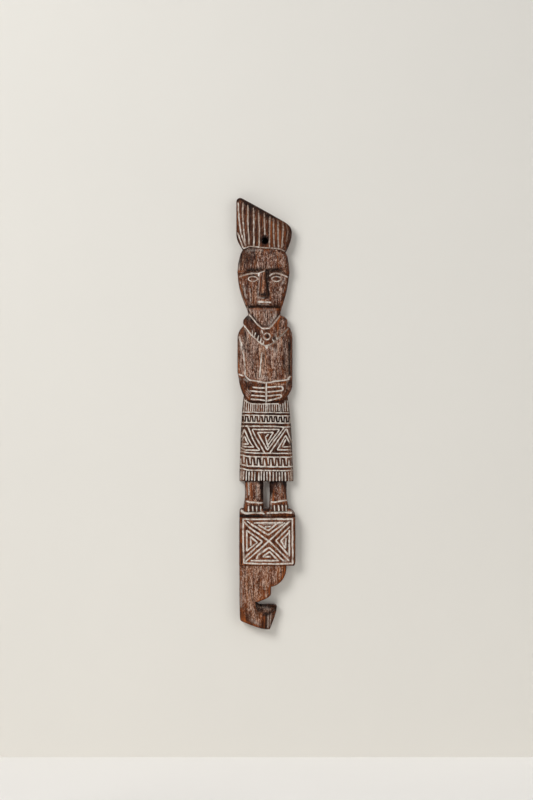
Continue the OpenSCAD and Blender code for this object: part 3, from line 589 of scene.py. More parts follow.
head = {
    "left": "-34.5 -11.5, -36.6 -15, -39.2 -20, -43 -35, -44.2 -50, -43.4 -61, -41.4 -73, -37.3 -88,"
            "-33.1 -99, -30 -107",
    "right": "31.5 -15.5, 33.5 -18.5, 36.3 -24.5, 38.2 -35, 39.4 -50, 37.4 -65, 34.7 -80, 30.6 -95, 26.6 -107",
    "top": brimLine[1:-1] + [0, 1.5], "rolls": {"left": 6, "right": 6.5, "top": 1.5, "bottom": 4.5},
    "form": headForm, "hewn": 0.42, "cut": 1.9, "shoulder": 0.2, "dust": headDust, "stainedAndShaded": headStainAndShade,
    "rubbed": lambda x, z: 0.3 * smooth(-30, -34, x) + 0.15 - 0.5 * spot(x, z, -10, -54, 3, 4),
    "around": {"wear": 0.18, "stain": 0.45, "dust": 0.38},
    "fills": {"face_lime": [
        cutLine("-41.4 -57, -35 -54.9, -29.4 -53.1, -21.1 -51.9, -12 -52.2", 2.4, 0.4, seed=120),
        cutLine("-12 -52, -8 -50.6, 0 -48.2", 1.5, 0.5, seed=125),
        cutLine("-9.8 -51.2, -10.2 -56.4", 3.8, 0.6, seed=126),
        cutLine("7 -56, 10.6 -53.1, 17.4 -51.2, 25.8 -53.1, 36.6 -57.6", 1.9, seed=121),
        *cutLines([ellipse(ex, headSizes["eyeZ"], 7.5, 4.0, 1.25) for ex in headSizes["eyes"]], 122,
                  width=1.4, ends=1.0, wobble=0.1),
        cutLine("-11.7 -97.3, 9.9 -98.4", 2.5, seed=124),
        cutLine("-11.2 -89.8, -7 -91.4, -0.6 -91.4", 1.3, 0.4, seed=127)]},
    "smears": [("-9 -52, -9.2 -66, -10.8 -88", 0.8, 0.85), ("-9.6 -52.6, -9.8 -55.6", 1.5, 1.0),
               ("-40.6 -77, -37 -88.5, -31 -101", 0.9, 0.7), ("-11.6 -89.6, -7 -91.2, 0.5 -91", 1.0, 0.8),
               # the smear from -41 -28 to -41.6 -46 is a painted highlight along the head's left edge
               ("-9.6 -101.4, 6 -101.8", 0.8, 0.8), ("-41 -28, -41.6 -46", 1.1, 0.9),
               ("-34.6 -69, -32.8 -80, -30.6 -91", 0.9, 0.65), ("-24.2 -77, -23.4 -97", 0.9, 0.6),
               ("31 -60, 27 -68", 2.0, 0.45), ("-30 -16, -18 -14.5, -6 -15", 2.2, 0.45),
               ("-29 -105.5, -22 -106.5", 1.2, 0.6)],
    # the first worn stroke, down the nose's left edge, is a painted highlight
    "worn": [("-7.4 -58, -9.2 -86", 1.2, 0.8), ("-41 -70, -36.5 -87, -30 -103", 1.8, 0.9),
             ("-30 -52, -34 -58", 3, 0.6), ("37 -50, 35 -68, 29 -95", 1.6, 0.5)],
}

# torso and hands: a collar that stands out over the chest, sleeves, and folded forearms that stand out below
neckLine = run("-25.9 -117.4, -19.2 -124.8, -12.3 -133, -5.6 -139.7, -3.7 -140.6, 7.2 -139.7, 11.2 -136.3,"
               "14.6 -130.9, 20 -124.8, 23.4 -119.5")
collarLine = run("-34.6 -134.2, -30.6 -139, -25.9 -145.1, -20.5 -152.5, -15 -156.5, -9.8 -161.9, -4.3 -165.9,"
                 "2.7 -168.6, 6.4 -166.6, 13.1 -163.2, 20 -157.1, 24 -153.1, 31.4 -145.8, 36.8 -140.3")
forearmLine = run("-32.6 -212.6, -29.9 -218.1, -24.5 -222.9, -15 -224.2, -5.6 -225.8, 1.8 -227.2, 7.8 -226.2,"
                  "17.9 -224.2, 28 -223.2, 35.4 -222.1, 40.8 -216")
neckSmear = "7.4 -134.4, 11 -127.4, 17 -119"
darkStreaks = ["-33.5 -142, -28 -162, -26 -190", "-2 -180, -3 -204", "31 -160, 33 -212", "-22 -168, -20 -208"]
torsoSizes = {"chest": (25.0, 88.0, 0), "collar": (27.2, 80.0, 1.8), "neck": (19.0, 90.0, -2.4),
              "hands": (28.0, 88.0, 0), "armGroove": 0.7}


def torsoForm(x, z):
    # the chest's arc, raised behind the collar line and below the forearm line, and lowered above the neck line
    s = torsoSizes
    height = crown(x, *s["chest"])
    arm = levelOf(-z, "168 -36.5, 184 -34.2, 193.6 -33, 208 -31.2, 216 -31")
    height = height - s["armGroove"] * hill(x, arm, 2.2) * window(z, -216, -208, -160, -150)
    height = height + 1.2 * spot(x, z, 17, -188, 13, 26) + spot(x, z, -20, -186, 11, 28)
    low = levelOf(x, collarLine)
    up = smooth(low - 0.7, low + 1.0, z)
    height = height * (1 - up) + crown(x, *s["collar"]) * up
    low = levelOf(x, neckLine)
    up = smooth(low + 0.7, low + 4.2, z) * smooth(27.5, 24.5, np.abs(x + 1.2))
    height = height * (1 - up) + crown(x, *s["neck"]) * up
    top = levelOf(x, forearmLine)
    down = smooth(top + 0.8, top - 0.8, z)
    pad = spot(x, z, -10, -244.5, 15, 13) + spot(x, z, 15, -243.5, 14, 12)
    return height * (1 - down) + (crown(x, *s["hands"]) + 1.2 * pad - 0.6) * down


def torsoDust(x, z):
    # flecks are thick on the chest, in the neck and above the right hand, thin on the collar and the hands
    low, high, top = (levelOf(x, line) for line in (collarLine, neckLine, forearmLine))
    collar = smooth(low - 1, low + 2, z) * smooth(high + 1, high - 1, z)
    hands = smooth(top + 1, top - 2, z)
    bare = (0.46 - 0.48 * smooth(8, 18, x)) * collar + (0.55 - 0.4 * smooth(24, 32, x)) * hands
    return 0.82 + 0.12 * smooth(4, -12, x) * (1 - collar) - bare + 2.1 * spot(x, z, 20, -228.6, 12, 2.4)


def torsoStainAndShade(x, z):
    # dark in the left armpit, beside the neck line, about the pendant and round the hands; painted shade down the
    # right flank, on the collar left of the neck line, under the hands and at their lower corners
    low, high, top = (levelOf(x, line) for line in (collarLine, neckLine, forearmLine))
    # painted shade down the right flank
    flank = hill(x, 39, 3.4) * window(z, -221, -211, -160, -148)
    # painted shade on the collar left of the neck line
    neck = 0.75 * hill(z - high, -4.2, 3.2) * smooth(-13, -22, x)
    neck = neck + 0.5 * hill(z - high, -3.4, 2.2) * smooth(10, 0, np.abs(x - 2))
    neck = neck + 0.3 * smooth(-8, -16, x) * window(z, -150, -140, -126, -118)
    neck = neck - 0.5 * hill(runGap(x, z, neckSmear), 0, 3)
    armpit = 0.7 * hill(x - levelOf(-z, "168 -36.5, 216 -31"), 4.2, 2.4) * window(z, -186, -170, -152, -140)
    belowArms = 0.75 * hill(z - top, -4, 2.3) * smooth(25, 6, np.abs(x - 3)) * (0.12 + 0.88 * smooth(10, 2, x))
    wrist = 0.55 * smooth(-33, -39, x) * smooth(-216, -222, z)
    spots = [(0.9, 38, -226.5, 4.2, 4.6), (0.7, -27.5, -231, 5.5, 7), (1, 3.2, -152.4, 2.5495098, 2.5495098),
             (0.5, 14, -155, 6, 6), (0.85, -13, -149.5, 5.5, 6)]
    spots = sum(strength * spot(x, z, *place) for strength, *place in spots)
    # painted shade at the hands' lower corners
    side = (0.6 - 0.3 * smooth(0, 10, x)) * hill(x - np.sign(x) * 36, 2, 4) * smooth(-236, -248, z)
    rows = 0.55 + 0.45 * np.cos(2 * np.pi * (z + 234.8) / 6.7 + np.pi)
    fingers = 0.5 * window(z, -259, -256, -236, -233) * smooth(26, 22, np.abs(x - 1.5)) * rows
    fringe = 0.6 * hill(z - low, 5, 4) * (window(x, -25, -20, -5, -1) + window(x, 8, 11, 18, 21))
    # painted shade along the hands' lower edge
    hands = belowArms + wrist + 0.85 * hill(z, -257.5, 2.2) + side + fingers
    return flank + neck + armpit + hands + spots + fringe + streaked(x, z, darkStreaks, 1.5)


collarTicks = ["-20.6 -152, -19.9 -144", "-17.4 -154.4, -15 -146.6", "-12.4 -158.8, -10.1 -151.4",
               "-8 -163, -5.7 -155.6", "-3.4 -166, -2 -160", "19 -157, 17 -149.6", "14.8 -161.6, 11 -156.4"]
fingerRuns = ["2.1 -227.2, 2.1 -258.6", "-19.8 -234.2, 0.3 -235.5", "-23.8 -239.7, 0.3 -242.1",
              "-21.8 -246.7, 0.3 -248.5", "-22.6 -252.8, 0.3 -255",
              "3.8 -233.9, 26.7 -232.6, 29 -235.5, 28 -239.4, 3.8 -241.6",
              "3.8 -248, 24.6 -245.8, 26.7 -248, 24.6 -251, 3.8 -255.5"]
handTicks = ((-31.4, -242.4), (-30.4, -239.6), (-28, -237.6), (-30.6, -246))
torso = {
    "level": True, "rolls": {"left": 5.5, "right": 7, "bottom": 5},
    "left": "-30.2 -104, -29 -109, -27.2 -114, -26.9 -118, -31 -121.5, -34.6 -126, -35.2 -130.5, -34 -134.5,"
            "-38.2 -139.2, -41.8 -145, -44 -151.5, -44.2 -158, -44.2 -210, -42.7 -216, -41.3 -226.2,"
            "-38.7 -236.3, -35.4 -245, -31.2 -251.8, -25.9 -256.5, -20.5 -258.6",
    "right": "26.8 -104, 26.2 -109, 24.8 -114, 25 -118.5, 30.9 -120.6, 35.5 -125, 36.4 -130.7, 35.7 -135.6,"
             "40 -138.8, 43.5 -147, 44.2 -154.6, 44.2 -222, 43.8 -233, 41.4 -239.7, 36.8 -247.7, 31.4 -253.1,"
             "26.7 -256.5, 22 -258.6",
    "form": torsoForm, "hewn": 0.45, "cut": 1.9, "shoulder": 0.25, "dust": torsoDust, "stainedAndShaded": torsoStainAndShade,
    "rubbed": lambda x, z: (0.1 + 0.25 * smooth(3, 22, x)) * smooth(-172, -162, z),
    "around": {"wear": 0.18, "stain": 0.45, "dust": 0.40},
    "fills": {
        "neck_lime": [cutLine(neckLine, 1.9, seed=130)],
        "collar_edge_lime": [cutLine(collarLine, 2.05, seed=131),
                             cutLine("2.7 -166.5, 2.7 -173", 5.0, 0.45, seed=132)],
        "collar_fringe_lime": [tooth(tick, 2.9, 1.1, 133 + i) for i, tick in enumerate(collarTicks)],
        "pendant_lime": [cutLine(ellipse(3, -152.8, 5.3, 5.3), 1.7, 1.0, 0.1, 141),
                         cutLine("-5.6 -142.4, -3.4 -148.6", 1.9, seed=142)],
        "sleeve_lime": [cutLine("-41.8 -151.8, -37.9 -164, -36.9 -169", 2.3, 0.3, seed=143),
                        cutLine("-35.9 -176, -34.2 -184, -33 -193.6, -32.4 -199.5", 1.6, 0.35, seed=148),
                        cutLine(joined("-31.5 -206", forearmLine), 2.1, seed=144),
                        cutLine("-5.3 -178.9, -6.6 -193.6, -9 -218.1", 1.8, seed=145),
                        cutLine("-42.7 -213.1, -34.6 -215.4", 2.3, seed=146),
                        cutLine("34.4 -221.6, 38.9 -220.4", 4.2, 0.6, seed=147)],
        "finger_lime": cutLines(fingerRuns, 150, width=2.05)},
    # the second smear here and the first worn stroke below are a painted highlight along the neck's top under the
    # chin
    "smears": [(neckSmear, 3.2, 0.72), ("-24 -109.8, -6 -110.4, 16 -109.8", 1.9, 0.3),
               ("-39.2 -162, -37.2 -173", 2.0, 0.75), ("-34.2 -182, -31.6 -208", 1.0, 0.5),
               ("10 -172, 19 -176", 3.0, 0.35), ("-27.5 -120, -25 -123", 2.4, 0.6),
               ("-29 -107.5, -24 -110, -24.5 -116", 1.5, 0.7), ("-4 -216, 2 -219", 2.2, 0.4),
               ("-41 -219.5, -39.5 -221.5", 1.6, 0.65), ("-33 -221, -28 -224.5", 1.5, 0.6),
               *[([(x, z), (x + 4.6, z - 5)], 0.6, 0.75) for x, z in handTicks]],
    # the first worn stroke is a painted highlight along the neck's top under the chin
    "worn": [("-22 -108.8, 0 -109.6, 22 -108.8", 2.0, 1.0), ("17 -136.5, 21.5 -128, 25 -121.5", 1.9, 0.85),
             ("8 -229.5, 32 -226.5", 2.6, 0.95), ("28 -252, 36 -243", 2.2, 0.6),
             ("-32 -240, -27 -252", 2.0, 0.7), ("15 -131, 20 -141", 3.0, 0.55),
             ("-38 -142, -33 -150", 3.0, 0.45), ("8 -200, 12 -214", 2.0, 0.4)],
}

# skirt: fringes, two toothed bands and a row of wound triangles
skirtSizes = {"arc": (25.5, 90.0, 2.2), "tilt": 0.018, "underHands": 3.0, "inset": 0.3, "bandCurl": 2.3}
skirtLeft = run("-34 -246, -35.5 -258, -36.9 -272, -38.4 -296, -39.8 -334, -40.8 -370, -40.8 -384.5")
skirtRight = run("36 -246, 37.6 -258, 39.4 -272, 41.7 -296, 43.6 -334, 45.4 -370, 45.6 -384.5")


def skirtForm(x, z):
    # one arc across, lower where it goes in behind the hands
    return crown(x, *skirtSizes["arc"]) - skirtSizes["underHands"] * smooth(-262, -255, z)


def skirtRubbed(x, z):
    # lime is thin towards both sides, less so below the triangles
    side = 0.5 - 0.3 * smooth(-338, -342, z) + 0.12 * smooth(-365, -368, z)
    return side * smooth(33, 40, np.abs(x - 2.4)) + 0.04 * smooth(-276, -273, z)


def skirtStainAndShade(x, z):
    # dark between the lines, paler at the lower sides, darker in the upper band and the hem, and painted shade
    # under the hands
    off = np.abs(x - 2.4)
    paler = (0.3 + 0.4 * smooth(-364, -369, z)) * smooth(31.5, 38, off) * smooth(-334, -346, z)
    band = 0.26 * window(z, -293, -288, -276, -270) - 0.1 * smooth(-276, -270, z)
    hem = 0.2 * smooth(-366, -369, z) * smooth(36, 32, off) + 0.35 * smooth(-382, -385, z)
    # painted shade under the hands, at the skirt's top
    behind = 0.3 * smooth(-259.5, -254, z) * smooth(33, 26, np.abs(x - 2))
    return (0.58 + 0.25 * ripple(x, z, 9.0, 27)) * (1 - paler) + band + hem + behind


def bandShift(x, curl):
    # a band's line drops a little to the right and curls up at its two ends, more at the left one
    return curl * (smooth(-26, -40, x) + 0.35 * smooth(38, 45, x)) - skirtSizes["tilt"] * (x - 2)


def across(levels, curl, seed):
    # lines right across the skirt, each with its height and width
    lines = []
    for i, (z, width) in enumerate(levels):
        left, right = (np.interp(-z, -side[:, 1], side[:, 0]) for side in (skirtLeft, skirtRight))
        x = np.linspace(left + skirtSizes["inset"], right - skirtSizes["inset"], 19)
        lines.append(cutLine(np.stack([x, z + bandShift(x, curl)], 1), width, seed=seed + i))
    return lines


def toothRow(top, bottom, first, pitch, count, long, root, tip, slant, curl, seed):
    # teeth that hang from the upper line, and teeth that rise between them from the lower line
    teeth = []
    for i in range(count):
        for half, level, way in ((0.0, top, -1), (0.5, bottom, 1)):
            x = first + (i + half) * pitch
            z = level + bandShift(x, curl)
            lean = 0.35 * np.sin(1.7 * i + half) - way * slant
            teeth.append(tooth([(x, z), (x + lean, z + way * long)], root, tip, seed + 2 * i + half * 2))
    return teeth


def strokes(xs, top, bottom, width, seed):
    # upright strokes side by side, each a little out of place and of its own width
    rng = np.random.default_rng(seed)
    count = len(xs)
    xs = np.array(xs) + rng.uniform(-0.35, 0.35, count)
    ends = np.stack(np.broadcast_arrays(top, bottom, xs)[:2], 1) + rng.uniform(-0.9, 0.9, (count, 2))
    wide = width * rng.uniform(0.75, 1.2, count)
    ends = ends - skirtSizes["tilt"] * xs[:, None]
    each = enumerate(zip(xs, ends, wide))
    return [cutLine([(x, a), (x + 0.02 * x, b)], w, seed=seed + i) for i, (x, (a, b), w) in each]


waistAt = np.linspace(-33.2, 35.6, 21)
waistTop = -261.0 + 7.5 * smooth(24, 34, np.abs(waistAt - 1.5))
hemAt = [-38.2, -34.4, -29.6, -25.2, -20.4, -16, -10, -5.6, -1.2, 3.2, 8, 12.8, 18.3, 23, 26.9, 32, 37, 41.6]
triangles = ["42.5 -297, 30.5 -298, 20 -297, 0 -296.3, -38.6 -296.2",
             "-27.7 -296.2, -24.5 -304.5, -19.4 -317, -13.5 -327.5, -8.4 -334.6, -25 -334.5, -33 -334,"
             "-39.5 -330.8",
             "5.1 -326.2, 23.5 -301.3, -20.6 -301.3, -14.5 -314.5, -7.5 -326, -0.8 -338.4",
             "4.8 -320.6, 13.3 -306.1, -12.2 -306.4, 3.8 -334.4, 30.7 -298.1",
             "5.5 -309, 0.3 -313.5, 3 -322, 5 -330", "7.4 -339.2, 33.3 -301.3, 34.6 -300.8, 43 -322.4",
             "42.4 -334.2, 19.7 -334.1, 33 -311, 40 -324", "41.6 -328.8, 27.5 -329.3, 33.4 -317.6",
             "-38.1 -314.4, -33 -301, -27.4 -315, -23 -323.2, -17.8 -329.8, -34.5 -329, -37 -327.4",
             "-37.1 -320, -33.1 -311.4, -26.9 -325, -37.4 -324.8"]
upperTeeth = {"top": -279.4, "bottom": -290.6, "first": -33.2, "pitch": 7.7, "count": 10, "long": 8.2, "root": 2.35,
              "tip": 0.55, "slant": 0.3, "curl": 0.0, "seed": 193}
lowerTeeth = {"top": -345.6, "bottom": -360.6, "first": -34.1, "pitch": 9.7, "count": 8, "long": 11.4, "root": 3.2,
              "tip": 0.8, "slant": 0.55, "curl": skirtSizes["bandCurl"], "seed": 245}
upperLevels, lowerLevels = ([(-274.2, 1.5), (-279.2, 1.6), (-290.8, 1.7)],
                            [(-339.4, 1.8), (-345.4, 1.9), (-360.8, 2.1), (-366.8, 1.7)])
skirt = {
    "level": True, "left": skirtLeft, "right": skirtRight, "rolls": {"left": 4, "right": 4.5, "bottom": 1.8},
    "form": skirtForm, "hewn": 0.3, "cut": 1.9, "shoulder": 0.35, "edgeWear": 0.12, "rubbed": skirtRubbed,
    "dust": lambda x, z: 0.1 + 0.9 * smooth(31, 39, np.abs(x - 2.4)), "stainedAndShaded": skirtStainAndShade,
    "around": {"wear": 0.18, "stain": 0.45, "dust": 0.42},
    "fills": {
        "waist_fringe_lime": strokes(waistAt, waistTop, -272.8, 1.25, 160) + [
            cutLine("-32.5 -254.5, -27 -258.8, -20 -260.6, -8 -261.2, 2 -260.6, 12 -260.6, 22 -260.4", 1.6,
                    seed=181),
            cutLine("1.9 -259, 1.4 -264, 1.3 -272.8", 2.1, seed=182)],
        "upper_band_lime": across(upperLevels, 0.0, 190) + toothRow(**upperTeeth),
        "triangle_lime": cutLines(triangles, 220, width=1.95, ends=0.8),
        "lower_band_lime": across(lowerLevels, skirtSizes["bandCurl"], 240) + toothRow(**lowerTeeth)
        + [tooth("-38.6 -358.2, -38.8 -348", 2.6, 0.9, 262)],
        "hem_fringe_lime": strokes(hemAt, -368.6, -383.6, 1.8, 270)},
    "smears": [("-38 -300, -39.5 -336", 1.6, 0.35), ("-40 -360, -40.2 -383", 2.2, 0.3),
               ("44.5 -362, 45 -383", 2.6, 0.4), ("24 -331, 20 -320", 2.0, 0.5),
               ("41.2 -299, 43 -334", 2.0, 0.5), ("-36 -262, -36.5 -272", 2.0, 0.4),
               ("38 -262, 39 -272", 2.0, 0.35), ("-37.4 -368, -37.6 -384", 3.0, 0.3),
               ("43.4 -347, 43.6 -383", 1.8, 0.7)],
    "worn": [("10 -304, 26 -322", 2.0, 0.4), ("-10 -276.8, 30 -277.6", 1.2, 0.5),
             ("-10 -342.4, 36 -343", 1.4, 0.7), ("0 -363.6, 40 -364.6", 1.4, 0.7),
             ("-6 -298.6, 16 -298.8", 1.2, 0.7), ("-26 -267, 30 -268", 3.2, 0.6)],
}

# legs: two round shafts that swell into feet with cut toes
legSizes = {"shaft": (20, 24), "foot": (23.6, 32), "ankle": (-411, -423)}  # each arc's thickness and radius


def legForm(middle, x, z):
    # a shaft's arc that goes over into a foot's flatter and prouder arc
    foot = smooth(*legSizes["ankle"], z)
    return crown(x, *legSizes["shaft"], middle) * (1 - foot) + crown(x, *legSizes["foot"], middle) * foot


def leftLegStainAndShade(x, z):
    # painted shade on the inner side and under the skirt, and dark between the toes
    # painted shade on the inner side
    inner = 1.2 * smooth(-9.4, -5.6, x + 0.9 * ripple(x, z, 3.0, 28)) * (0.35 + 0.65 * smooth(-416, -408, z))
    # painted shade under the skirt, and dark between the toes
    return inner + 0.9 * smooth(-389, -384, z) + 0.5 * window(z, -436, -432, -424, -420) * smooth(-31, -27, x)


def rightLegStainAndShade(x, z):
    # painted shade on both sides of the shaft and under the skirt, and dark between the toes
    # painted shade on both sides of the shaft
    sides = 1.2 * smooth(15.5, 10, x + 0.9 * ripple(x, z, 3.0, 29)) + 0.6 * smooth(28.5, 33, x)
    # painted shade under the skirt, and dark between the toes
    return sides * smooth(-414, -400, z) + 0.95 * smooth(-398, -384, z) + 0.5 * smooth(-420, -424, z)


legLook = {"level": True, "hewn": 0.45, "cut": 1.7, "shoulder": 0.2,
           "rolls": {"left": 4.5, "right": 4.5, "bottom": 1.6},
           "around": {"wear": 0.14, "stain": 0.58, "dust": 0.36}}
leftToes = [[(x, -424), (x + 0.3, -433)] for x in (-26.4, -19.8, -13.6, -7)]
rightToes = [[(x, -422.6), (x + 0.9, -432.6)] for x in (14.9, 21.4, 27.4, 33.3)]
leftLeg = {
    **legLook, "form": partial(legForm, -18.2), "stainedAndShaded": leftLegStainAndShade,
    "left": "-32 -380, -32 -404, -32.4 -412, -34.2 -422, -34.6 -433.2",
    "right": "-2.6 -380, -2.8 -400, -2.4 -420, -2.2 -433.2",
    "dust": lambda x, z: 0.66 - 0.38 * smooth(-418, -424, z),
    "fills": {"left_foot_lime": cutLines(leftToes, 300, width=1.9, ends=0.6) + [
        cutLine("-29.9 -416.2, -24 -417.9, -14.4 -417.9, -9.6 -419.2, -3.5 -418.9", 2.0, seed=320)]},
    "smears": [("-26.6 -387, -25.8 -406", 1.2, 1.0), ("-30.5 -396, -30 -410", 1.2, 0.5),
               ("-33 -416, -33.6 -424", 1.2, 0.6), ("-14 -392, -13 -410", 1.2, 0.4)],
    "worn": [("-29.5 -386, -28.5 -412", 1.8, 0.9), ("-22 -388, -21 -412", 1.2, 0.7),
             ("-31 -420, -31 -432", 1.6, 0.6)],
}
rightLeg = {
    **legLook, "form": partial(legForm, 21.3), "stainedAndShaded": rightLegStainAndShade,
    "left": "7.6 -380, 7.6 -405, 6.9 -420, 6.6 -432.8",
    "right": "34.4 -380, 34.6 -404, 35.4 -414, 37.4 -424, 37.8 -432.8",
    "dust": lambda x, z: 0.68 - 0.42 * smooth(-418, -424, z),
    "fills": {"right_foot_lime": cutLines(rightToes, 310, width=2.0, ends=0.6) + [
        cutLine("9 -417.3, 16 -418.1, 24 -416, 35 -414.7", 2.2, seed=321)]},
    "smears": [("10.5 -404, 9.5 -428", 1.3, 0.7), ("24 -388, 25 -402", 2.0, 0.35)],
    "worn": [("12 -402, 13 -413", 1.5, 0.7), ("14 -420.5, 30 -419.5", 1.3, 0.8)],
}

# block: a ledge that the feet stand on, a dark groove, and the framed panel
panelFrame = ["-35.4 -445, 43.9 -444.6", "43.6 -444, 44.2 -516", "44.6 -515.7, 4.8 -516.2, -34 -514.9",
              "-33.8 -515.4, -35 -478.4, -34.7 -444.4"]
panelRuns = ["-33.6 -448.8, -26.4 -456.8, 6.2 -479.5, 38.7 -511.2", "39.5 -448, 6.2 -479.5, -31.2 -512.8",
             "-28.8 -448, 4.8 -469.8, 32.3 -450.4", "-17.6 -450.6, 28.8 -450.2",
             "-10.7 -453.6, 5.3 -463.2, 19.5 -450.9", "0 -457, 8.8 -456.5",
             "-29.1 -495.2, -29.1 -462.4, -4.2 -480.6, -33.9 -507.2",
             "-22.7 -487.2, -23.2 -472.8, -12.2 -481.9, -29.4 -495.5", "38.7 -504, 38.7 -462.4",
             "39.2 -456.8, 17.3 -479.2, 36.8 -501.3", "37.6 -466.4, 25.6 -479.2, 32.5 -491.2, 33.6 -475.2",
             "-13.6 -508.8, -10.7 -501.6, 6.9 -489.6, 29.6 -511.2", "-22.7 -511, 22.4 -511",
             "8.8 -504.8, -3.5 -504.8, 7.2 -496.5, 20 -510.4"]
blockArc = (27.0, 260.0, 3.7)
blockSteps = run("-443.4 0, -441.8 -7.4, -438.4 -7.4, -436.4 -6, -427 -6")  # height, and how far set back


def blockForm(x, z):
    # the panel's shallow arc, with the ledge set back above it and a groove between the two
    return crown(x, *blockArc) + levelOf(z, blockSteps)


def blockStainAndShade(x, z):
    # dark in the groove, more so to the left; painted shade on the ledge between the feet and at the lower right
    # corner
    groove = 0.9 * hill(z, -439.9, 2) * (0.12 + 0.88 * smooth(6, -24, x))
    # painted shade on the ledge between the feet
    ledge = 0.3 * smooth(-433, -429, z) + 1.1 * smooth(-433.5, -431, z) * smooth(6.5, 4, np.abs(x - 2.2))
    # painted shade at the lower right corner
    return groove + ledge + 0.8 * spot(x, z, 46.5, -518, 2.5, 2.5)


block = {
    "left": "-40.2 -429.4, -41 -432, -41.2 -470, -41.3 -519.5",
    "top": "-40.2 -429.4, -38 -428, 36 -427.5, 41 -428.8, 45.3 -432",
    "right": "45.3 -432, 47.8 -436, 48.7 -441, 48.7 -512, 48.2 -517, 46.5 -519.5",
    "rolls": {"left": 3.5, "right": 3.5, "top": 3, "bottom": 3.8},
    "form": blockForm, "hewn": 0.3, "cut": 1.9, "shoulder": 0.35, "stainedAndShaded": blockStainAndShade,
    "dust": lambda x, z: 0.2 + 0.4 * smooth(-436, -430, z) + 0.6 * smooth(-515, -518, z),
    "around": {"wear": 0.18, "stain": 0.45, "dust": 0.38},
    "fills": {"panel_lime": [
        *cutLines(panelFrame, 345, width=2.3, ends=0.95), *cutLines(panelRuns, 331, width=2.25, ends=0.85),
        cutLine("-37.6 -432.8, -30.4 -436, -17.6 -434.8, -4 -435, -0.8 -437.1", 2.8, seed=350),
        cutLine("3.2 -435.4, 17.6 -434.5, 32 -433.8, 43.2 -434.8", 2.8, seed=351),
        cutLine("-38.2 -430.6, -35.2 -433.4", 3.4, 0.7, seed=352)]},
    "smears": [("-39 -430.5, -36 -433.5", 2.4, 1.0), ("-34 -434, -4 -433.4", 1.6, 0.6),
               ("8 -433.6, 42 -432.8", 1.8, 0.65), ("43 -431, 46.5 -436", 1.6, 0.5),
               ("30 -513, 36 -510", 2.4, 0.6), ("1 -439.6, 8 -440", 2.2, 0.4), ("-38 -452, -38 -458", 1.5, 0.3),
               ("-4 -452.6, 36 -451.6", 1.8, 0.5), ("22 -455, 37 -449", 1.5, 0.4),
               ("-30 -504, -33 -510", 2.0, 0.5), ("-9 -498, -2 -494", 1.5, 0.4),
               ("-20 -476, -14 -481", 1.4, 0.35), ("28 -476, 31 -484", 1.5, 0.4)],
    "worn": [("47 -446, 47 -512", 1.6, 0.5), ("-39 -450, -39 -500", 1.5, 0.5), ("4 -440, 44 -439.5", 2.0, 0.75),
             ("-30 -518, 44 -518", 1.6, 0.8)],
}

# tail: a bare plank end with a stepped right edge, cut in above its hook
hookTop = joined(pulled("-13.5 -579.2, -8.5 -584, 2.5 -581.4, 14.5 -582"),
                 pulled("14.5 -582, 17.8 -582.2, 19.4 -584.2, 18.9 -587.6", 7))
tailSizes = {"thick": 23.0, "round": 210.0, "middle": 3.7, "scoop": 12.5, "facet": 0.74,
             "hookZ": (-592, -598), "lean": 0.02}
scoopRim = run("-16.5 -579, -15.5 -590, -10 -595.5, -4.8 -598.1, 2 -596.8, 9.3 -594.1, 14 -591, 17 -588,"
               "18.6 -586.2")


def scoopDepth(x, z):
    # 0 on the scoop's rim and beyond, rising to 1 at the hook's upper edge
    rim, top = levelOf(x, scoopRim), levelOf(x, hookTop[:15])
    inside = smooth(-16.8, -13.6, x) * (z < top + 2.5)
    return inside * np.clip((z - rim) / np.maximum(top - rim, 1.0), 0, 1)


def tailForm(x, z):
    # a shallow arc, hollowed above the hook, and cut to a slope right of the hook's middle
    s = tailSizes
    height = crown(x, s["thick"], s["round"], s["middle"])
    slope = s["thick"] + 0.3 - s["facet"] * (x - 0.6 - s["lean"] * (z + 600))
    low = smooth(*s["hookZ"], z)
    height = height * (1 - low) + np.minimum(height, slope) * low
    height = np.where(z < -585, np.minimum(height, s["thick"] + 2.0 - s["facet"] * (x - 0.6)), height)
    return height - s["scoop"] * smooth(0, 1, scoopDepth(x, z)) * (1 - 0.35 * smooth(6, 18, x))


def tailStainAndShade(x, z):
    # near black at the back of the scoop and in stripes down the slope, and painted shadow along the scoop's lower
    # rim
    d = scoopDepth(x, z)
    inner = 0.42 * smooth(0.03, 0.2, d) + 0.75 * smooth(0.6, 0.9, d)
    # painted shadow along the scoop's lower rim
    lip = 1.4 * hill(z - levelOf(x, scoopRim), -0.4, 2.5) * window(x, -6, 0, 15, 19)
    stripes = (1.2 * hill(x - tailSizes["lean"] * (z + 600), 2, 1.7) + 0.7 * hill(x, 6.9, 1)
               + 0.7 * hill(x - 0.18 * (z + 600), 12.6, 1.4)) * smooth(*tailSizes["hookZ"], z)
    patches = np.clip(0.15 + 0.6 * ripple(x, z * 0.7, 6.0, 35), 0, 0.6) * smooth(-584, -594, z) * smooth(1, -4, x)
    return inner + lip + stripes + patches + 0.5 * smooth(13, 17, x) * smooth(-583, -589, z)


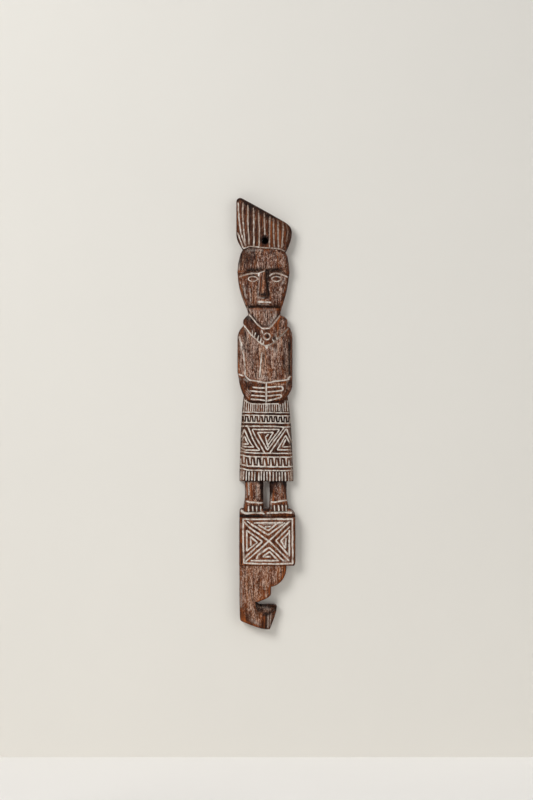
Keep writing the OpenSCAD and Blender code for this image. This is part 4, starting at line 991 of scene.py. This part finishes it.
tail = {
    "left": "-41.1 -513, -40.8 -580, -40.3 -598, -40 -604.5, -39.4 -607",
    "right": joined("34.5 -513, 34.5 -522.5", pulled("34.5 -522.5, 33.9 -538.5, 24.5 -551, 9.5 -553.5"), "9.5 -565",
                    pulled("9.5 -565, 7.5 -572.5, -8.5 -575.5, -13.5 -579.2"), hookTop,
                    pulled("18.9 -587.6, 17.6 -600, 11.1 -612.5, 7.9 -621.5")),
    "bottom": "-38.6 -608.2, -36.6 -609.3, -26.8 -613.2, -15.2 -617.2, -4.6 -620.4, 3.4 -621.4", "ends": ["bottom"],
    "match": ([0, 0.31, 0.555, 0.76, 1], [0, 0.38, 0.70, 0.87, 1]),
    "rolls": {"left": 3, "right": 2.4, "bottom": 2.2},
    "form": tailForm, "hewn": 0.5, "cut": 1.9, "shoulder": 0.2, "warm": 0.42, "stainedAndShaded": tailStainAndShade, "fills": {},
    "dust": lambda x, z: 0.78 - 0.24 * smooth(-586, -604, z) + 0.08 * smooth(20, -20, x),
    "around": {"wear": 0.22, "stain": 0.42, "dust": 0.40},
    "smears": [("5 -598, 4.2 -620", 1.2, 0.85), ("9.6 -596, 7.8 -616", 1.1, 0.8),
               ("-38 -545, -38 -585", 2.0, 0.35), ("-20 -606, -10 -613", 2.2, 0.45),
               ("-3 -586, 6 -589", 3.2, 0.5)],
    "worn": [("-38.5 -588, -36.5 -601, -31 -608", 2.6, 0.9), ("-31 -608, -20 -613.5, -6 -618", 1.8, 0.7),
             ("-1 -600, -2.5 -619", 2.2, 1.0), ("32 -520, 30 -538, 24 -546", 2.2, 0.9),
             ("7 -556, 6 -568", 2.0, 0.9), ("-2 -560, -1 -573", 1.6, 0.9), ("-14 -548, -8 -542", 2.0, 0.5),
             ("22 -524, 21 -544", 1.4, 0.6)],
}


# finishes: dark stained wood with pale flecks left in its grain, and chalky lime
def addNode(tree, kind, inputs=None, **settings):
    # one node, with its settings, its fixed inputs and its links
    made = tree.nodes.new(kind)
    for key, value in settings.items():
        setattr(made, key, value)
    for key, value in (inputs or {}).items():
        if isinstance(value, bpy.types.NodeSocket):
            tree.links.new(value, made.inputs[key])
        else:
            made.inputs[key].default_value = value
    return made


def stretched(tree, scale, detail=4.0, rough=0.6, warp=0.0):
    # noise on object coordinates in metres, drawn out along the grain, 0 to 1 about a middle of 0.5
    coords = addNode(tree, "ShaderNodeTexCoord").outputs["Object"]
    place = addNode(tree, "ShaderNodeMapping", {"Vector": coords, "Scale": scale}).outputs[0]
    inputs = {"Vector": place, "Scale": 1.0, "Detail": detail, "Roughness": rough, "Distortion": warp}
    return addNode(tree, "ShaderNodeTexNoise", inputs).outputs[0]


def mathNode(operation, a, b):
    # two values put together by one operation
    return addNode(a.id_data, "ShaderNodeMath", {0: a, 1: b}, operation=operation).outputs[0]


plus, minus, times, smaller, larger = [partial(mathNode, operation) for operation in
                                       ("ADD", "SUBTRACT", "MULTIPLY", "MINIMUM", "MAXIMUM")]


def ranged(value, low, high, toLow=0.0, toHigh=1.0):
    # an S-curve from one range to another
    inputs = {"Value": value, "From Min": low, "From Max": high, "To Min": toLow, "To Max": toHigh}
    return addNode(value.id_data, "ShaderNodeMapRange", inputs, interpolation_type="SMOOTHSTEP").outputs[0]


def blend(factor, a, b):
    # colour a where the factor is 0 and colour b where it is 1
    a, b = [c if isinstance(c, bpy.types.NodeSocket) else (*c, 1.0) for c in (a, b)]
    return addNode(factor.id_data, "ShaderNodeMix", {0: factor, 6: a, 7: b}, data_type="RGBA").outputs[2]


def painted(tree, name):
    # a mark of the mesh's own points, by its name
    return addNode(tree, "ShaderNodeAttribute", attribute_name=name, attribute_type="GEOMETRY").outputs["Fac"]


def newFinish(name):
    # an empty material, its node tree and its shader
    made = bpy.data.materials.new(name)
    made.use_nodes = True
    return made, made.node_tree, made.node_tree.nodes["Principled BSDF"]


def finished(tree, shader, colour, rough, relief, look):
    # colour, roughness and relief go into the shader
    bump = addNode(tree, "ShaderNodeBump", {"Height": relief, "Strength": look["relief"], "Distance": look["bump"]})
    for key, socket in (("Base Color", colour), ("Roughness", rough), ("Normal", bump.outputs[0])):
        tree.links.new(socket, shader.inputs[key])
    shader.inputs["Specular IOR Level"].default_value = look["specular"]


woodLook = {"dark": (0.021, 0.0074, 0.0048), "brown": (0.098, 0.0305, 0.0145), "orange": (0.37, 0.098, 0.023),
            "ashen": (0.172, 0.090, 0.067), "tan": (0.25, 0.092, 0.036), "fleck": (0.61, 0.44, 0.355),
            "lime": (0.60, 0.535, 0.47), "black": (0.0065, 0.0040, 0.0034), "peach": (0.57, 0.345, 0.23),
            "specular": 0.09, "relief": 0.8, "bump": 0.0006}
woodNoise = {"grain": ((520, 520, 30), 5, 0.62, 0.2), "streak": ((230, 230, 18), 3, 0.6, 0.3),
             "fleck": ((430, 430, 135), 5, 0.74, 0.6), "speck": ((640, 640, 250), 4, 0.72, 1.0),
             "patch": ((125, 125, 17), 3, 0.55, 0.2), "ember": ((480, 480, 170), 4, 0.7, 0.8),
             "pores": ((1500, 1500, 110), 2, 0.5)}


def woodFinish():
    # brown grain, orange where it is worn and along painted highlights, pale flecks where paint was rubbed off,
    # lime smears, and black for stain and painted shade
    made, tree, shader = newFinish("stained_wood")
    look = woodLook
    grain, streak, fleck, speck, patch, ember, pores = [stretched(tree, *noise) for noise in woodNoise.values()]
    wear, dust, limed, stain = [painted(tree, key) for key in ("wear", "dust", "limed", "stain")]
    colour = blend(ranged(grain, 0.41, 0.59), look["dark"], look["brown"])
    warm = plus(times(wear, 0.62), ranged(streak, 0.52, 0.70, 0, 0.55))
    warm = plus(times(warm, ranged(grain, 0.40, 0.60, 0.25, 1.0)), ranged(ember, 0.53, 0.62, 0, 0.4))
    colour = blend(smaller(warm, 0.92), colour, look["orange"])
    dusty = plus(times(minus(dust, 0.6), 0.17), times(minus(patch, 0.5), 0.28))
    film = times(ranged(plus(fleck, dusty), 0.475, 0.555, 0, 0.92), ranged(grain, 0.42, 0.51, 0.05, 1.0))
    tanned = smaller(plus(times(wear, 0.7), ranged(streak, 0.46, 0.62, 0, 0.7)), 1.0)
    colour = blend(film, colour, blend(tanned, look["ashen"], look["tan"]))
    bright = plus(plus(speck, times(minus(fleck, 0.5), 0.45)), dusty)
    bright = times(ranged(bright, 0.56, 0.62, 0, 0.95), ranged(grain, 0.40, 0.47, 0.3, 1.0))
    colour = blend(bright, colour, blend(tanned, look["fleck"], look["peach"]))
    colour = blend(times(limed, ranged(speck, 0.40, 0.56, 0.12, 1.0)), colour, look["lime"])
    # black where the wood is stained, and painted shade where the mark stands for shadow
    colour = blend(smaller(times(stain, ranged(fleck, 0.42, 0.70, 1.0, 0.55)), 0.97), colour, look["black"])
    colour = blend(ranged(pores, 0.60, 0.72, 0, 0.6), colour, look["dark"])
    relief = minus(plus(times(grain, 0.8), times(fleck, 0.6)), ranged(pores, 0.58, 0.72, 0, 0.35))
    finished(tree, shader, colour, ranged(grain, 0.3, 0.7, 0.74, 0.50), relief, look)
    return made


limeLook = {"pale": (0.74, 0.68, 0.61), "worn": (0.40, 0.31, 0.25), "bare": (0.13, 0.062, 0.037),
            "specular": 0.2, "relief": 0.9, "bump": 0.0005}


def limeFinish():
    # chalk that is off-white, greyer where it is thin, and here and there rubbed through to the wood
    made, tree, shader = newFinish("chalky_lime")
    look = limeLook
    cloud, speck = stretched(tree, (240, 240, 120), 4, 0.6), stretched(tree, (900, 900, 420), 3, 0.6)
    rubbed = painted(tree, "rubbed")
    colour = blend(ranged(plus(cloud, times(rubbed, 0.5)), 0.42, 0.68), look["pale"], look["worn"])
    thin = plus(plus(speck, times(cloud, 0.5)), times(rubbed, 0.22))
    colour = blend(ranged(thin, 0.86, 0.98, 0, 0.9), colour, look["bare"])
    finished(tree, shader, colour, ranged(speck, 0.3, 0.7, 0.82, 0.95), speck, look)
    return made


wood, lime = woodFinish(), limeFinish()
print("finishes made")

parts = {"plank_headdress": headdress, "plank_head": head, "plank_torso": torso, "plank_skirt": skirt,
         "plank_left_leg": leftLeg, "plank_right_leg": rightLeg, "plank_block": block, "plank_tail": tail}
for name, part in parts.items():
    carve(name, part, wood)
print("plank carved")

for part in parts.values():
    for node, lines in part["fills"].items():
        limeFill(node, part, lines, lime)
print("lime rubbed in")

# stage: a pale wall that the carving hangs on, and a pale floor below it
stageLook = {"wall": (0.80, 0.77, 0.71), "floor": (0.78, 0.76, 0.73), "holeShadow": (0.02, 0.018, 0.016),
             "holeShadowReach": (0.006, 0.009), "fade": (1.5, 2.3), "mottle": 1.04, "roughness": 0.9, "specular": 0.1,
             "wallY": 0.0012, "floorZ": -0.83, "half": 5.0}


def stageFinish(name, colour, isWall):
    # flat paint that fades out far away, with a painted shadow on the wall behind the hanging hole; a look from
    # behind goes through it, and a shadow ray through the wall
    made, tree, shader = newFinish(name)
    paler = tuple(min(1.0, stageLook["mottle"] * c) for c in colour)
    colour = blend(stretched(tree, (3, 3, 3), 3, 0.5), colour, paler)
    coords = addNode(tree, "ShaderNodeTexCoord").outputs["Object"]
    far = addNode(tree, "ShaderNodeVectorMath", {0: coords}, operation="LENGTH").outputs["Value"]
    away = larger(addNode(tree, "ShaderNodeNewGeometry").outputs["Backfacing"], ranged(far, *stageLook["fade"]))
    if isWall:
        # painted shadow: the wall is dark just behind the hanging hole
        colour = blend(ranged(far, *stageLook["holeShadowReach"]), stageLook["holeShadow"], colour)
        away = larger(away, addNode(tree, "ShaderNodeLightPath").outputs["Is Shadow Ray"])
    tree.links.new(colour, shader.inputs["Base Color"])
    shader.inputs["Roughness"].default_value = stageLook["roughness"]
    shader.inputs["Specular IOR Level"].default_value = stageLook["specular"]
    clear = addNode(tree, "ShaderNodeBsdfTransparent").outputs[0]
    mix = addNode(tree, "ShaderNodeMixShader", {0: away, 1: shader.outputs[0], 2: clear})
    tree.links.new(mix.outputs[0], tree.nodes["Material Output"].inputs["Surface"])
    return made


def stagePlane(name, corners, material):
    # one flat sheet through four corners
    mesh = bpy.data.meshes.new(name)
    mesh.from_pydata(corners, [], [(0, 1, 2, 3)])
    mesh.materials.append(material)
    plane = bpy.data.objects.new(name, mesh)
    scene.collection.objects.link(plane)


h, wallY, floorZ = stageLook["half"], stageLook["wallY"], stageLook["floorZ"]
stagePlane("wall", [(-h, wallY, floorZ), (h, wallY, floorZ), (h, wallY, h), (-h, wallY, h)],
           stageFinish("wall_paint", stageLook["wall"], True))
stagePlane("floor", [(-h, -h, floorZ), (h, -h, floorZ), (h, h, floorZ), (-h, h, floorZ)],
           stageFinish("floor_paint", stageLook["floor"], False))

# light: a large soft lamp at the upper left, a weak one at the right, one behind for the back, and an even sky
lampList = [("key", (-1.5, -2.2, 1.1), 1.3, 50.0), ("fill", (1.9, -2.0, 0.1), 1.6, 11.0),
            ("rear", (0.9, 2.4, 0.8), 1.8, 46.0)]
lampGoal = Vector((0.0, 0.0, -0.27))
skyLook = {"colour": (0.95, 0.97, 1.0, 1.0), "lit": 0.29, "seen": 0.86}
for name, place, size, power in lampList:
    lamp = bpy.data.lights.new(name, "AREA")
    lamp.size, lamp.energy = size, power
    held = bpy.data.objects.new(name, lamp)
    held.location = place
    held.rotation_euler = (lampGoal - Vector(place)).to_track_quat("-Z", "Y").to_euler()
    scene.collection.objects.link(held)

world = bpy.data.worlds.new("even_sky")
world.use_nodes = True
sky = world.node_tree
ground = sky.nodes["Background"]
ground.inputs["Color"].default_value = skyLook["colour"]
rays = addNode(sky, "ShaderNodeLightPath").outputs
seen = larger(rays["Is Camera Ray"], larger(rays["Is Glossy Ray"], rays["Is Transmission Ray"]))
strength = addNode(sky, "ShaderNodeMapRange", {"Value": seen, "To Min": skyLook["lit"], "To Max": skyLook["seen"]})
sky.links.new(strength.outputs[0], ground.inputs["Strength"])
scene.world = world
scene.view_settings.view_transform = "Standard"

cameraSet = {"distance": 3.0, "front": 0.020, "x": 0.0024, "z": -0.2544, "sensor": 36.0,
             "tall": 1.28}  # height of view where the front is
lens = bpy.data.cameras.new("camera")
lens.sensor_fit, lens.sensor_height = "VERTICAL", cameraSet["sensor"]
lens.lens = cameraSet["sensor"] * (cameraSet["distance"] - cameraSet["front"]) / cameraSet["tall"]
camera = bpy.data.objects.new("camera", lens)
camera.location = (cameraSet["x"], -cameraSet["distance"], cameraSet["z"])
camera.rotation_euler = (np.pi / 2, 0, 0)
scene.collection.objects.link(camera)
scene.camera = camera
print("stage, light and camera set")
